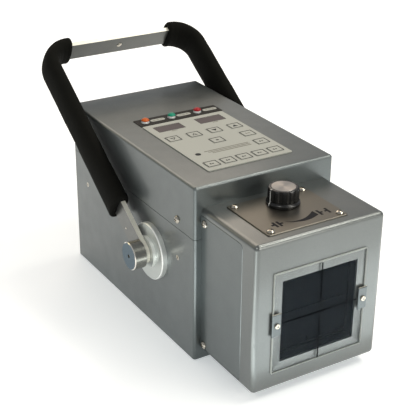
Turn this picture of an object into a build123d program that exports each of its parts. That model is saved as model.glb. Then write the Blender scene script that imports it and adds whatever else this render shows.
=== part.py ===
"""Portable X-ray generator: housing, light-beam collimator and swinging carry handle.

Millimetres. +Z is up and the beam leaves along -Y. The origin is the middle of the housing's
underside, on the surface that the unit stands on.
"""

import os
from math import asin, cos, pi, radians, sin

from build123d import *

os.makedirs("parts", exist_ok=True)

# ---------------------------------------------------------------- driving dimensions
# Housing: a folded tray below and a folded cover above, both of sheet aluminium.
WIDTH = 160.0
LENGTH = 265.0
HEIGHT = 188.0
SHEET = 2.0
BEND_R = 3.0
SPLIT_Z = 133.3
SEAM = 0.5
FRONT_Y = -LENGTH / 2
REAR_Y = LENGTH / 2
INNER_W = WIDTH - 2 * SHEET
INNER_L = LENGTH - 2 * SHEET
COVER_SCREW_Y = 100.5
COVER_SCREW_Z = 143.0
TRAY_SCREW_Z = 101.2

# Collimator box on the front face.
BEAM_Z = 81.5
COLL_W = 144.8
COLL_D = 92.3
COLL_Z0 = 11.0
COLL_Z1 = 166.0
COLL_BEND_R = 5.0
COLL_FRONT_Y = FRONT_Y - COLL_D
PANEL_Z0 = 14.5
PANEL_Z1 = 159.3
PANEL_FRONT_Y = FRONT_Y - 71.0
PANEL_GAP = 0.35
SIDE_SCREW_Y = FRONT_Y - 6.0
SIDE_SCREW_Z = (19.0, 152.0)

# Window on the collimator's front.
OPENING = 85.2
WINDOW = 105.4
WINDOW_T = 2.0
WINDOW_BEVEL = 0.5
HAIRLINE = 0.9
CLIP_X = 49.5
CLIP_W = 10.0
CLIP_H = 23.5
CLIP_T = 1.6

# Knob and its plate on the collimator's top.
KNOB_X = -1.5
KNOB_Y = -163.5
KNOB_R = 16.3
KNOB_BODY_R = 15.0
KNOB_H = 17.5
KNOB_FLUTES = 12
FLUTE_R = 3.8
FLUTE_D = 1.1
CAP_R = 11.7
PLATE_T = 1.2
PLATE_W = 89.0
PLATE_D = 71.0
PLATE_X = -7.0
PLATE_Y = -177.5
PLATE_INSET = 5.8
PLATE_TOP = COLL_Z1 + PLATE_T
SHAFT_R = 3.0

# Control panel on the housing's top.
OVERLAY_W = 98.0
OVERLAY_L = 133.0
OVERLAY_Y = -40.2
OVERLAY_T = 1.0
KEY_W = 15.0
KEY_L = 13.6
KEY_GAP = 0.2
KEY_PROUD = 0.35
KEY_AIR = 0.5
KEY_STEM_R = 2.0
KEY_STEM_Z = HEIGHT - 6.0
STRIP_W = 100.6
STRIP_L = 19.2
STRIP_X = 1.5
STRIP_Y = 38.0
STRIP_T = 0.6
LED_X = (-39.0, -7.0, 25.0)
LED_R = 4.25
DISPLAY_W = 30.5
DISPLAY_L = 14.5
DISPLAY_X = 25.0
DISPLAY_Y = 11.3
BOARD_TOP = HEIGHT - 10.4
BOARD_T = 1.6

# Handle: one flat bar bent into a U, clamped at a pivot on each side.
PIVOT_Y = -50.0
PIVOT_Z = 87.0
LEAN = radians(33.3)
HANDLE_LEN = 267.5
BAR_T = 5.0
BAR_W = 23.0
ARM_X = 91.5
HANDLE_BEND_R = 25.0
GRIP_START = 57.0
GRIP_END_X = 62.5
GRIP_A = 9.6
GRIP_B = 18.6
GRIP_OFFSET = 1.0
BOSS_R = 30.0
BOSS_T = 5.5
HUB_R = 17.0
BOLT_R = 6.0
PIVOT_CAP_R = 14.7
PIVOT_CAP_FACE_X = 107.5
PIVOT_GAP = 0.3

# Running clearances on radii.
FIT = 0.05

# Shutters: four lead leaves, closed at rest. The knob's full turn of 160 degrees opens
# each of them by 30.7.
LEAF_REST = 0.5
LEAF_W = 33.0
LEAF_H = 84.0
LEAF_T = 2.0
LIFT_LEAF_H = 33.0
SIDE_LEAF_Y = -209.0
LIFT_LEAF_Y = -213.0
PINION_TEETH = 22
MODULE = 1.0
PINION_R = PINION_TEETH * MODULE / 2
PINION_Z = 146.0
PINION_T = 6.0
RACK_T = 4.0
TOOTH_ROOT_W = 1.85
TOOTH_H = 2.2
TOOTH_FLANK = 75.0
TOOTH_SHIFT = -0.2

# Tank with the tube.
TANK_W = 124.0
TANK_L = 108.0
TANK_H = 126.0
TANK_WALL = 4.0
TANK_Y = -70.0
TUBE_Y = -75.0

# Key centres: two pairs of arrows, three single keys and a row of five.
KEY_PITCH = 24.7
ROW_PITCH = 18.5
KEY_ROWS_Y = (-18.8, -43.7, -68.7, -93.5)
KEY_PLACES = {
    "key_down_left": (-1.5 * KEY_PITCH, KEY_ROWS_Y[0]),
    "key_up_left": (-0.5 * KEY_PITCH, KEY_ROWS_Y[0]),
    "key_down_right": (0.5 * KEY_PITCH, KEY_ROWS_Y[0]),
    "key_up_right": (1.5 * KEY_PITCH, KEY_ROWS_Y[0]),
    "key_centre": (0.0, KEY_ROWS_Y[1]),
    "key_right_upper": (1.5 * KEY_PITCH, KEY_ROWS_Y[1]),
    "key_right_lower": (1.5 * KEY_PITCH, KEY_ROWS_Y[2]),
}
for number in range(5):
    KEY_PLACES[f"key_row_{number + 1}"] = ((number - 2) * ROW_PITCH, KEY_ROWS_Y[3])

# ---------------------------------------------------------------- shared planes and places
handle_plane = Plane(
    origin=(0, PIVOT_Y, PIVOT_Z), x_dir=(1, 0, 0), z_dir=(0, -sin(LEAN), cos(LEAN))
)
arm_plane = Plane(
    origin=(0, PIVOT_Y, PIVOT_Z), x_dir=(0, cos(LEAN), sin(LEAN)), z_dir=(1, 0, 0)
)
front_plane = Plane.XZ.offset(-FRONT_Y)
coll_front_plane = Plane.XZ.offset(-COLL_FRONT_Y)
rear_plane = Plane(origin=(0, REAR_Y, 0), x_dir=(-1, 0, 0), z_dir=(0, 1, 0))


def facing(x, y, z, direction):
    """Location of a point whose local +Z looks along the given direction."""
    return Plane(origin=(x, y, z), z_dir=direction).location


def save(builder, name):
    """Label a finished piece and write it."""
    builder.part.label = name
    export_step(builder.part, f"parts/{name}.step")


# ---------------------------------------------------------------- fasteners
SCREW_HEAD_R = 4.0
SCREW_HEAD_H = 2.3
SCREW_R = 1.95
SCREW_LEN = 7.0
RECESS_L = 4.4
RECESS_W = 1.0
RECESS_D = 1.3

# One M4 pan-head screw: seat at z = 0, head above and shank below.
with BuildPart() as pan_screw:
    with BuildSketch(Plane.XZ):
        with BuildLine():
            Line((0, -SCREW_LEN), (SCREW_R, -SCREW_LEN))
            Line((SCREW_R, -SCREW_LEN), (SCREW_R, 0))
            Line((SCREW_R, 0), (SCREW_HEAD_R, 0))
            Line((SCREW_HEAD_R, 0), (SCREW_HEAD_R, 0.8))
            ThreePointArc((SCREW_HEAD_R, 0.8), (2.6, 2.0), (0, SCREW_HEAD_H))
            Line((0, SCREW_HEAD_H), (0, -SCREW_LEN))
        make_face()
    revolve(axis=Axis.Z)
    with Locations((0, 0, SCREW_HEAD_H)):
        Box(RECESS_L, RECESS_W, 2 * RECESS_D, mode=Mode.SUBTRACT)
        Box(RECESS_W, RECESS_L, 2 * RECESS_D, mode=Mode.SUBTRACT)

plate_screw_places = [
    (PLATE_X + i * (PLATE_W / 2 - PLATE_INSET), PLATE_Y + j * (PLATE_D / 2 - PLATE_INSET))
    for i in (-1, 1)
    for j in (-1, 1)
]
screw_places = [facing(x, y, PLATE_TOP, (0, 0, 1)) for x, y in plate_screw_places]
for side in (-1, 1):
    for end in (-1, 1):
        screw_places.append(
            facing(side * WIDTH / 2, end * COVER_SCREW_Y, COVER_SCREW_Z, (side, 0, 0))
        )
    for z in SIDE_SCREW_Z:
        screw_places.append(facing(side * COLL_W / 2, SIDE_SCREW_Y, z, (side, 0, 0)))

with BuildPart() as pan_head_screws:
    with Locations(*screw_places):
        add(pan_screw.part)
save(pan_head_screws, "pan_head_screws")

# Countersunk M3 screws that hold the tank brackets to the tray's sides.
SUNK_HEAD_R = 2.6
SUNK_HEAD_H = 1.5
SUNK_R = 1.45
SUNK_LEN = 6.0
SUNK_HEAD_TOP = 0.1

with BuildPart() as sunk_screw:
    with BuildSketch(Plane.XZ):
        with BuildLine():
            Polyline(
                (0, -SUNK_LEN),
                (SUNK_R, -SUNK_LEN),
                (SUNK_R, -SUNK_HEAD_H - SUNK_HEAD_TOP),
                (SUNK_HEAD_R, -SUNK_HEAD_TOP),
                (0, -SUNK_HEAD_TOP),
                close=True,
            )
        make_face()
    revolve(axis=Axis.Z)
    with Locations((0, 0, 0)):
        Box(2.8, 0.6, 1.8, mode=Mode.SUBTRACT)
        Box(0.6, 2.8, 1.8, mode=Mode.SUBTRACT)

sunk_places = [
    facing(side * WIDTH / 2, end * COVER_SCREW_Y, TRAY_SCREW_Z, (side, 0, 0))
    for side in (-1, 1)
    for end in (-1, 1)
]
with BuildPart() as countersunk_screws:
    with Locations(*sunk_places):
        add(sunk_screw.part)
save(countersunk_screws, "countersunk_screws")

# ---------------------------------------------------------------- housing
LIP_T = 2.0
LIP_ROOT = 9.0
LIP_RISE = 15.0
LIP_AIR = 0.2
COVER_Z0 = SPLIT_Z + SEAM
PORT_R = 30.0
STAND_BOSS_R = 9.0
STAND_BOSS_H = 12.0
STAND_HOLE_R = 3.4
INLET_W = 27.6
INLET_H = 20.0
INLET_X = 38.0
INLET_Z = 40.0
SWITCH_W = 13.0
SWITCH_H = 19.4
SWITCH_X = 2.0
SOCKET_X = -38.0
SOCKET_R = 8.0

with BuildPart() as lower_tray:
    with BuildSketch(Plane.XY):
        RectangleRounded(WIDTH, LENGTH, BEND_R)
    extrude(amount=SPLIT_Z)
    with BuildSketch(Plane.XY.offset(SHEET)):
        RectangleRounded(INNER_W, INNER_L, BEND_R - SHEET)
    extrude(amount=SPLIT_Z, mode=Mode.SUBTRACT)
    # Inner lip that the cover slides over: its root is welded to the tray's wall.
    with BuildSketch(Plane.XY.offset(SPLIT_Z - LIP_ROOT)):
        RectangleRounded(WIDTH - SHEET, LENGTH - SHEET, BEND_R - SHEET)
        Rectangle(INNER_W - 2 * LIP_T, INNER_L - 2 * LIP_T, mode=Mode.SUBTRACT)
    extrude(amount=LIP_ROOT)
    with BuildSketch(Plane.XY.offset(SPLIT_Z - 1)):
        RectangleRounded(INNER_W - 2 * LIP_AIR, INNER_L - 2 * LIP_AIR, BEND_R - SHEET)
        Rectangle(INNER_W - 2 * LIP_T, INNER_L - 2 * LIP_T, mode=Mode.SUBTRACT)
    extrude(amount=LIP_RISE + 1)
    # Threaded boss in the floor for a stand.
    with BuildSketch(Plane.XY.offset(SHEET / 2)):
        with Locations((0, 40)):
            Circle(STAND_BOSS_R)
    extrude(amount=STAND_BOSS_H - SHEET / 2)
    with BuildSketch(Plane.XY):
        with Locations((0, 40)):
            Circle(STAND_HOLE_R)
    extrude(amount=STAND_BOSS_H, mode=Mode.SUBTRACT)
    # Beam port, pivot holes and screw holes.
    with BuildSketch(front_plane):
        with Locations((0, BEAM_Z)):
            Circle(PORT_R)
    extrude(amount=-SHEET, mode=Mode.SUBTRACT)
    with BuildSketch(Plane.YZ.offset(-WIDTH)):
        with Locations((PIVOT_Y, PIVOT_Z)):
            Circle(BOLT_R + FIT)
        with Locations((-COVER_SCREW_Y, COVER_SCREW_Z), (COVER_SCREW_Y, COVER_SCREW_Z)):
            Circle(SCREW_R + FIT)
        with Locations((-COVER_SCREW_Y, TRAY_SCREW_Z), (COVER_SCREW_Y, TRAY_SCREW_Z)):
            Circle(SUNK_R + FIT)
    extrude(amount=2 * WIDTH, mode=Mode.SUBTRACT)
    for place in sunk_places:
        with Locations(place):
            Cone(
                SUNK_R,
                SUNK_HEAD_R + 0.2,
                SUNK_HEAD_H + 0.2,
                align=(Align.CENTER, Align.CENTER, Align.MAX),
                mode=Mode.SUBTRACT,
            )
    # Cut-outs for the rear connectors.
    with BuildSketch(rear_plane):
        with Locations((-INLET_X, INLET_Z)):
            Rectangle(INLET_W, INLET_H)
        with Locations((-SWITCH_X, INLET_Z)):
            Rectangle(SWITCH_W, SWITCH_H)
        with Locations((-SOCKET_X, INLET_Z)):
            Circle(SOCKET_R)
    extrude(amount=-SHEET, mode=Mode.SUBTRACT)
    fillet(lower_tray.faces().sort_by(Axis.Z)[0].outer_wire().edges(), 1.0)
save(lower_tray, "lower_tray")

STUD_R = 3.0
STUD_X = 62.0
STUD_Y = (-104.0, 52.0)
WINDOW_CUT_W = 28.0
WINDOW_CUT_L = 12.0
LED_HOLE_R = 3.0

with BuildPart() as upper_cover:
    with BuildSketch(Plane.XY.offset(COVER_Z0)):
        RectangleRounded(WIDTH, LENGTH, BEND_R)
    extrude(amount=HEIGHT - COVER_Z0)
    fillet(upper_cover.faces().sort_by(Axis.Z)[-1].edges(), BEND_R - 0.2)
    with BuildSketch(Plane.XY.offset(COVER_Z0)):
        RectangleRounded(INNER_W, INNER_L, BEND_R - SHEET)
    extrude(amount=HEIGHT - SHEET - COVER_Z0, mode=Mode.SUBTRACT)
    # Studs that carry the control board.
    with BuildSketch(Plane.XY.offset(BOARD_TOP)):
        with Locations(*[(x, y) for x in (-STUD_X, STUD_X) for y in STUD_Y]):
            Circle(STUD_R)
    extrude(amount=HEIGHT - SHEET / 2 - BOARD_TOP)
    with BuildSketch(Plane.XY.offset(HEIGHT - SHEET)):
        with Locations(*KEY_PLACES.values()):
            Circle(KEY_STEM_R + 0.3)
        with Locations((-DISPLAY_X, DISPLAY_Y), (DISPLAY_X, DISPLAY_Y)):
            Rectangle(WINDOW_CUT_W, WINDOW_CUT_L)
        with Locations(*[(x, STRIP_Y) for x in LED_X]):
            Circle(LED_HOLE_R)
    extrude(amount=SHEET, mode=Mode.SUBTRACT)
    with BuildSketch(Plane.YZ.offset(-WIDTH)):
        with Locations((-COVER_SCREW_Y, COVER_SCREW_Z), (COVER_SCREW_Y, COVER_SCREW_Z)):
            Circle(SCREW_R + 0.3)
    extrude(amount=2 * WIDTH, mode=Mode.SUBTRACT)
save(upper_cover, "upper_cover")

# ---------------------------------------------------------------- control panel
with BuildPart() as keypad_overlay:
    with BuildSketch(Plane.XY.offset(HEIGHT)):
        with Locations((0, OVERLAY_Y)):
            RectangleRounded(OVERLAY_W, OVERLAY_L, 1.5)
        with Locations(*KEY_PLACES.values()):
            RectangleRounded(KEY_W + 2 * KEY_GAP, KEY_L + 2 * KEY_GAP, 1.4, mode=Mode.SUBTRACT)
        with Locations((-DISPLAY_X, DISPLAY_Y), (DISPLAY_X, DISPLAY_Y)):
            Rectangle(DISPLAY_W + 0.2, DISPLAY_L + 0.2, mode=Mode.SUBTRACT)
    extrude(amount=OVERLAY_T)
save(keypad_overlay, "keypad_overlay")


def make_key(name, x, y):
    """One key: a thin cap in the overlay and a stem that reaches its switch."""
    top = HEIGHT + OVERLAY_T + KEY_PROUD
    with BuildPart() as key:
        with BuildSketch(Plane.XY.offset(HEIGHT + KEY_AIR)):
            with Locations((x, y)):
                RectangleRounded(KEY_W, KEY_L, 1.2)
        extrude(amount=top - HEIGHT - KEY_AIR)
        chamfer(key.faces().sort_by(Axis.Z)[-1].edges(), 0.25)
        with BuildSketch(Plane.XY.offset(KEY_STEM_Z)):
            with Locations((x, y)):
                Circle(KEY_STEM_R)
        extrude(amount=HEIGHT + KEY_AIR - KEY_STEM_Z)
    save(key, name)


for key_name, (key_x, key_y) in KEY_PLACES.items():
    make_key(key_name, key_x, key_y)

SWITCH_BODY = 6.2
SWITCH_TOP = KEY_STEM_Z + 1.5
SWITCH_WELL = KEY_STEM_Z - 0.8

with BuildPart() as key_switches:
    with BuildSketch(Plane.XY.offset(BOARD_TOP)):
        with Locations(*KEY_PLACES.values()):
            Rectangle(SWITCH_BODY, SWITCH_BODY)
    extrude(amount=SWITCH_TOP - BOARD_TOP)
    with BuildSketch(Plane.XY.offset(SWITCH_WELL)):
        with Locations(*KEY_PLACES.values()):
            Circle(KEY_STEM_R + 0.15)
    extrude(amount=SWITCH_TOP - SWITCH_WELL, mode=Mode.SUBTRACT)
save(key_switches, "key_switches")

with BuildPart() as control_board:
    with BuildSketch(Plane.XY.offset(BOARD_TOP - BOARD_T)):
        with Locations((0, -26)):
            Rectangle(2 * STUD_X + 10, 170)
        with Locations(*[(x, y) for x in (-STUD_X, STUD_X) for y in STUD_Y]):
            Circle(1.6, mode=Mode.SUBTRACT)
    extrude(amount=BOARD_T)
    # Numeral modules that stand up into the cover's openings.
    with BuildSketch(Plane.XY.offset(BOARD_TOP - 0.5)):
        with Locations((-DISPLAY_X, DISPLAY_Y), (DISPLAY_X, DISPLAY_Y)):
            Rectangle(WINDOW_CUT_W - 1, WINDOW_CUT_L - 1)
    extrude(amount=HEIGHT - 0.3 - BOARD_TOP + 0.5)
    # Processor and connector under the board.
    with BuildSketch(Plane.XY.offset(BOARD_TOP - BOARD_T - 5)):
        with Locations((20, -60)):
            Rectangle(22, 22)
        with Locations((0, 42)):
            Rectangle(50, 9)
    extrude(amount=5.5)
save(control_board, "control_board")

with BuildPart() as display_windows:
    with BuildSketch(Plane.XY.offset(HEIGHT)):
        with Locations((-DISPLAY_X, DISPLAY_Y), (DISPLAY_X, DISPLAY_Y)):
            Rectangle(DISPLAY_W, DISPLAY_L)
    extrude(amount=OVERLAY_T - 0.15)
save(display_windows, "display_windows")

BEZEL_R = 4.6
BEZEL_TOP_R = 4.1
BEZEL_H = 2.6
LED_STEM_R = 2.7
LED_RIM = 0.9
LED_DOME_H = 2.2
LED_DOME_R = (LED_R**2 + LED_DOME_H**2) / (2 * LED_DOME_H)

with BuildPart() as indicator_strip:
    with BuildSketch(Plane.XY.offset(HEIGHT)):
        with Locations((STRIP_X, STRIP_Y)):
            RectangleRounded(STRIP_W, STRIP_L, 1.0)
        with Locations(*[(x, STRIP_Y) for x in LED_X]):
            Circle(BEZEL_R + 0.1, mode=Mode.SUBTRACT)
    extrude(amount=STRIP_T)
save(indicator_strip, "indicator_strip")

with BuildPart() as led_bezels:
    with Locations(*[(x, STRIP_Y, HEIGHT) for x in LED_X]):
        Cone(BEZEL_R, BEZEL_TOP_R, BEZEL_H, align=(Align.CENTER, Align.CENTER, Align.MIN))
        Cylinder(
            LED_STEM_R + FIT,
            3 * BEZEL_H,
            mode=Mode.SUBTRACT,
        )
save(led_bezels, "led_bezels")

for colour, led_x in zip(("orange", "green", "red"), LED_X):
    with BuildPart() as lens:
        with BuildSketch(Plane.XZ.offset(-STRIP_Y)):
            with BuildLine():
                rim_z = HEIGHT + BEZEL_H
                Line((led_x, BOARD_TOP + 0.2), (led_x + LED_STEM_R, BOARD_TOP + 0.2))
                Line((led_x + LED_STEM_R, BOARD_TOP + 0.2), (led_x + LED_STEM_R, rim_z))
                Line((led_x + LED_STEM_R, rim_z), (led_x + LED_R, rim_z))
                Line((led_x + LED_R, rim_z), (led_x + LED_R, rim_z + LED_RIM))
                dome_z = rim_z + LED_RIM
                top_z = dome_z + LED_DOME_H
                half = asin(LED_R / LED_DOME_R) / 2
                ThreePointArc(
                    (led_x + LED_R, dome_z),
                    (led_x + LED_DOME_R * sin(half), top_z - LED_DOME_R * (1 - cos(half))),
                    (led_x, top_z),
                )
                Line((led_x, top_z), (led_x, BOARD_TOP + 0.2))
            make_face()
        revolve(axis=Axis((led_x, STRIP_Y, 0), (0, 0, 1)))
    save(lens, f"led_lens_{colour}")

# ---------------------------------------------------------------- tank, tube and inverter
TANK_Z0 = SHEET
TANK_TOP = TANK_Z0 + TANK_H
TANK_WINDOW_R = 20.0
TUBE_R = 22.0
TUBE_LEN = 96.0
GLASS_T = 2.0

with BuildPart() as tube_tank:
    with BuildSketch(Plane.XY.offset(TANK_Z0)):
        with Locations((0, TANK_Y)):
            RectangleRounded(TANK_W, TANK_L, 6)
    extrude(amount=TANK_H)
    with BuildSketch(Plane.XY.offset(TANK_Z0 + TANK_WALL)):
        with Locations((0, TANK_Y)):
            RectangleRounded(TANK_W - 2 * TANK_WALL, TANK_L - 2 * TANK_WALL, 3)
    extrude(amount=TANK_H, mode=Mode.SUBTRACT)
    # Thin window in the front wall, where the beam leaves.
    with BuildSketch(Plane.XZ.offset(TANK_L / 2 - TANK_Y)):
        with Locations((0, BEAM_Z)):
            Circle(TANK_WINDOW_R)
    extrude(amount=-(TANK_WALL - 1), mode=Mode.SUBTRACT)
    # Lugs that the tray's front side screws go into.
    lug_w = INNER_W / 2 - TANK_W / 2
    with BuildSketch(Plane.XY.offset(TRAY_SCREW_Z - 6)):
        for side in (-1, 1):
            with Locations((side * (TANK_W / 2 + lug_w / 2 - 0.5), -COVER_SCREW_Y)):
                Rectangle(lug_w + 1, 13)
    extrude(amount=12)
    for side in (-1, 1):
        with BuildSketch(Plane.YZ.offset(side * INNER_W / 2)):
            with Locations((-COVER_SCREW_Y, TRAY_SCREW_Z)):
                Circle(SUNK_R + FIT)
        extrude(amount=-side * 9, mode=Mode.SUBTRACT)
save(tube_tank, "tube_tank")

with BuildPart() as tank_lid:
    with BuildSketch(Plane.XY.offset(TANK_TOP)):
        with Locations((0, TANK_Y)):
            RectangleRounded(TANK_W, TANK_L, 6)
    extrude(amount=TANK_WALL)
    # High-voltage feed-through and an oil filler plug.
    with BuildSketch(Plane.XY.offset(TANK_TOP + TANK_WALL / 2)):
        with Locations((30, TANK_Y + 30)):
            Circle(7)
        with Locations((-35, TANK_Y + 30)):
            RegularPolygon(6, 6)
    extrude(amount=9)
save(tank_lid, "tank_lid")

tube_plane = Plane.YZ.offset(-TUBE_LEN / 2)
with BuildPart() as tube_envelope:
    with BuildSketch(tube_plane):
        with Locations((TUBE_Y, BEAM_Z)):
            Circle(TUBE_R)
    extrude(amount=TUBE_LEN)
    fillet(tube_envelope.edges(), 6)
    with BuildSketch(tube_plane.offset(GLASS_T)):
        with Locations((TUBE_Y, BEAM_Z)):
            Circle(TUBE_R - GLASS_T)
    extrude(amount=TUBE_LEN - 2 * GLASS_T, mode=Mode.SUBTRACT)
    # Necks that hold the two electrodes.
    with BuildSketch(Plane.YZ.offset(-TUBE_LEN)):
        with Locations((TUBE_Y, BEAM_Z)):
            Circle(5 + FIT)
    extrude(amount=2 * TUBE_LEN, mode=Mode.SUBTRACT)
save(tube_envelope, "tube_envelope")

with BuildPart() as tube_anode:
    with BuildSketch(Plane.YZ.offset(4)):
        with Locations((TUBE_Y, BEAM_Z)):
            Circle(9)
    extrude(amount=30)
    # Target face, sloped towards the window.
    with BuildSketch(Plane.XY.offset(BEAM_Z - 15)):
        with BuildLine():
            Polyline(
                (3, TUBE_Y - 10), (12, TUBE_Y - 10), (3, TUBE_Y + 10), close=True
            )
        make_face()
    extrude(amount=30, mode=Mode.SUBTRACT)
    with BuildSketch(Plane.YZ.offset(20)):
        with Locations((TUBE_Y, BEAM_Z)):
            Circle(5)
    extrude(amount=TUBE_LEN / 2 + 4 - 20)
save(tube_anode, "tube_anode")

with BuildPart() as tube_cathode:
    with BuildSketch(Plane.YZ.offset(-12)):
        with Locations((TUBE_Y, BEAM_Z)):
            Circle(8)
    extrude(amount=-16)
    with BuildSketch(Plane.YZ.offset(-12)):
        with Locations((TUBE_Y, BEAM_Z)):
            SlotOverall(9, 2.5, rotation=90)
    extrude(amount=-3, mode=Mode.SUBTRACT)
    with BuildSketch(Plane.YZ.offset(-20)):
        with Locations((TUBE_Y, BEAM_Z)):
            Circle(5)
    extrude(amount=-(TUBE_LEN / 2 + 4 - 20))
save(tube_cathode, "tube_cathode")

CORE_Z0 = TANK_Z0 + TANK_WALL
with BuildPart() as hv_transformer:
    with BuildSketch(Plane.XZ.offset(-TANK_Y + 14)):
        with Locations((0, CORE_Z0 + 24)):
            Rectangle(88, 48)
            with Locations((-22, 0), (22, 0)):
                Rectangle(22, 26, mode=Mode.SUBTRACT)
    extrude(amount=-28)
    # Winding on the middle leg.
    with BuildSketch(Plane.XY.offset(CORE_Z0 + 12)):
        with Locations((0, TANK_Y)):
            RectangleRounded(40, 60, 6)
    extrude(amount=24)
save(hv_transformer, "hv_transformer")

INVERTER_Y = 66.0
with BuildPart() as inverter_board:
    with BuildSketch(Plane.XY.offset(SHEET + STAND_BOSS_H)):
        with Locations((0, INVERTER_Y)):
            Rectangle(140, 104)
    extrude(amount=BOARD_T)
    # Feet on the tray's floor and side posts for the tray's rear side screws.
    with BuildSketch(Plane.XY.offset(SHEET)):
        with Locations((0, INVERTER_Y)):
            with GridLocations(120, 90, 2, 2):
                Circle(4)
    extrude(amount=STAND_BOSS_H + 0.5)
    with BuildSketch(Plane.XY.offset(SHEET + STAND_BOSS_H)):
        for side in (-1, 1):
            with Locations((side * (INNER_W / 2 - 5), COVER_SCREW_Y)):
                Rectangle(10, 13)
    extrude(amount=TRAY_SCREW_Z + 7 - SHEET - STAND_BOSS_H)
    with BuildSketch(Plane.YZ.offset(-WIDTH)):
        with Locations((COVER_SCREW_Y, TRAY_SCREW_Z)):
            Circle(SUNK_R + FIT)
    extrude(amount=2 * WIDTH, mode=Mode.SUBTRACT)
    inverter_top = SHEET + STAND_BOSS_H + BOARD_T
    with BuildSketch(Plane.XY.offset(inverter_top - 0.5)):
        # Smoothing capacitors.
        with Locations(*[(x, 40) for x in (-50, -20, 10)]):
            Circle(11)
    extrude(amount=42)
    with BuildSketch(Plane.XY.offset(inverter_top - 0.5)):
        # Heat sink with fins.
        with Locations((50, 62)):
            Rectangle(26, 60)
    extrude(amount=4)
    with BuildSketch(Plane.XY.offset(inverter_top + 3)):
        with Locations((50, 62)):
            with GridLocations(4.5, 1, 6, 1):
                Rectangle(1.6, 60)
    extrude(amount=36)
save(inverter_board, "inverter_board")

# ---------------------------------------------------------------- rear connectors
INLET_FLANGE_W = 50.0
INLET_FLANGE_H = 25.0
INLET_DEPTH = 24.0
RECESS_INLET_W = 24.2
RECESS_INLET_H = 16.4
RECESS_INLET_D = 17.0
inlet_x = -INLET_X

with BuildPart() as mains_inlet:
    with BuildSketch(rear_plane):
        with Locations((inlet_x, INLET_Z)):
            SlotOverall(INLET_FLANGE_W, INLET_FLANGE_H)
    extrude(amount=2.5)
    with BuildSketch(rear_plane):
        with Locations((inlet_x, INLET_Z)):
            Rectangle(INLET_W - 0.4, INLET_H - 0.4)
    extrude(amount=-INLET_DEPTH)
    # Recess for the plug, with two corners cut off.
    with BuildSketch(rear_plane.offset(2.5)):
        with Locations((inlet_x, INLET_Z)):
            recess = Rectangle(RECESS_INLET_W, RECESS_INLET_H)
            chamfer(recess.vertices().group_by(Axis.Z)[-1], 4)
    extrude(amount=-RECESS_INLET_D, mode=Mode.SUBTRACT)
    # Three flat contact pins.
    with BuildSketch(rear_plane.offset(2.5 - RECESS_INLET_D - 0.5)):
        with Locations(*[(inlet_x + dx, INLET_Z + dz) for dx, dz in ((0, 2), (-7, -2), (7, -2))]):
            Rectangle(2, 4)
    extrude(amount=12.5)
save(mains_inlet, "mains_inlet")

ROCKER_PIVOT_Z = INLET_Z
with BuildPart() as power_switch:
    with BuildSketch(rear_plane):
        with Locations((-SWITCH_X, INLET_Z)):
            Rectangle(15, 21.4)
    extrude(amount=1.5)
    with BuildSketch(rear_plane):
        with Locations((-SWITCH_X, INLET_Z)):
            Rectangle(SWITCH_W - 0.4, SWITCH_H - 0.4)
    extrude(amount=-18)
    with BuildSketch(rear_plane.offset(1.5)):
        with Locations((-SWITCH_X, INLET_Z)):
            Rectangle(10.6, 17.4)
    extrude(amount=-9, mode=Mode.SUBTRACT)
    # Pivot holes for the rocker's trunnions.
    with BuildSketch(Plane.YZ.offset(SWITCH_X - 6.0)):
        with Locations((REAR_Y - 2, ROCKER_PIVOT_Z)):
            Circle(1.0 + FIT)
    extrude(amount=12, mode=Mode.SUBTRACT)
save(power_switch, "power_switch")

ROCKER_TILT = radians(8.0)
rocker_plane = Plane(
    origin=(SWITCH_X, REAR_Y - 2, ROCKER_PIVOT_Z),
    x_dir=(0, cos(ROCKER_TILT), sin(ROCKER_TILT)),
    z_dir=(1, 0, 0),
)
with BuildPart() as power_rocker:
    with BuildSketch(rocker_plane.offset(-5.0)):
        with BuildLine():
            Line((-2, -7.2), (4.4, -7.8))
            RadiusArc((4.4, -7.8), (4.4, 7.8), 28)
            Line((4.4, 7.8), (-2, 7.2))
            Line((-2, 7.2), (-2, -7.2))
        make_face()
    extrude(amount=10)
    with BuildSketch(rocker_plane.offset(-5.8)):
        Circle(1.0)
    extrude(amount=11.6)
save(power_rocker, "power_rocker")

with BuildPart() as hand_switch_socket:
    with BuildSketch(rear_plane):
        with Locations((-SOCKET_X, INLET_Z)):
            Circle(10)
    extrude(amount=2)
    with BuildSketch(rear_plane):
        with Locations((-SOCKET_X, INLET_Z)):
            Circle(SOCKET_R - FIT)
    extrude(amount=-16)
    with BuildSketch(rear_plane):
        with Locations((-SOCKET_X, INLET_Z)):
            Circle(SOCKET_R)
    extrude(amount=6)
    with BuildSketch(rear_plane.offset(6)):
        with Locations((-SOCKET_X, INLET_Z)):
            Circle(6.2)
    extrude(amount=-3.5, mode=Mode.SUBTRACT)
    with BuildSketch(rear_plane.offset(2)):
        with Locations((-SOCKET_X, INLET_Z)):
            with PolarLocations(3.4, 4, start_angle=45):
                Circle(0.6)
    extrude(amount=3.2)
save(hand_switch_socket, "hand_switch_socket")

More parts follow.
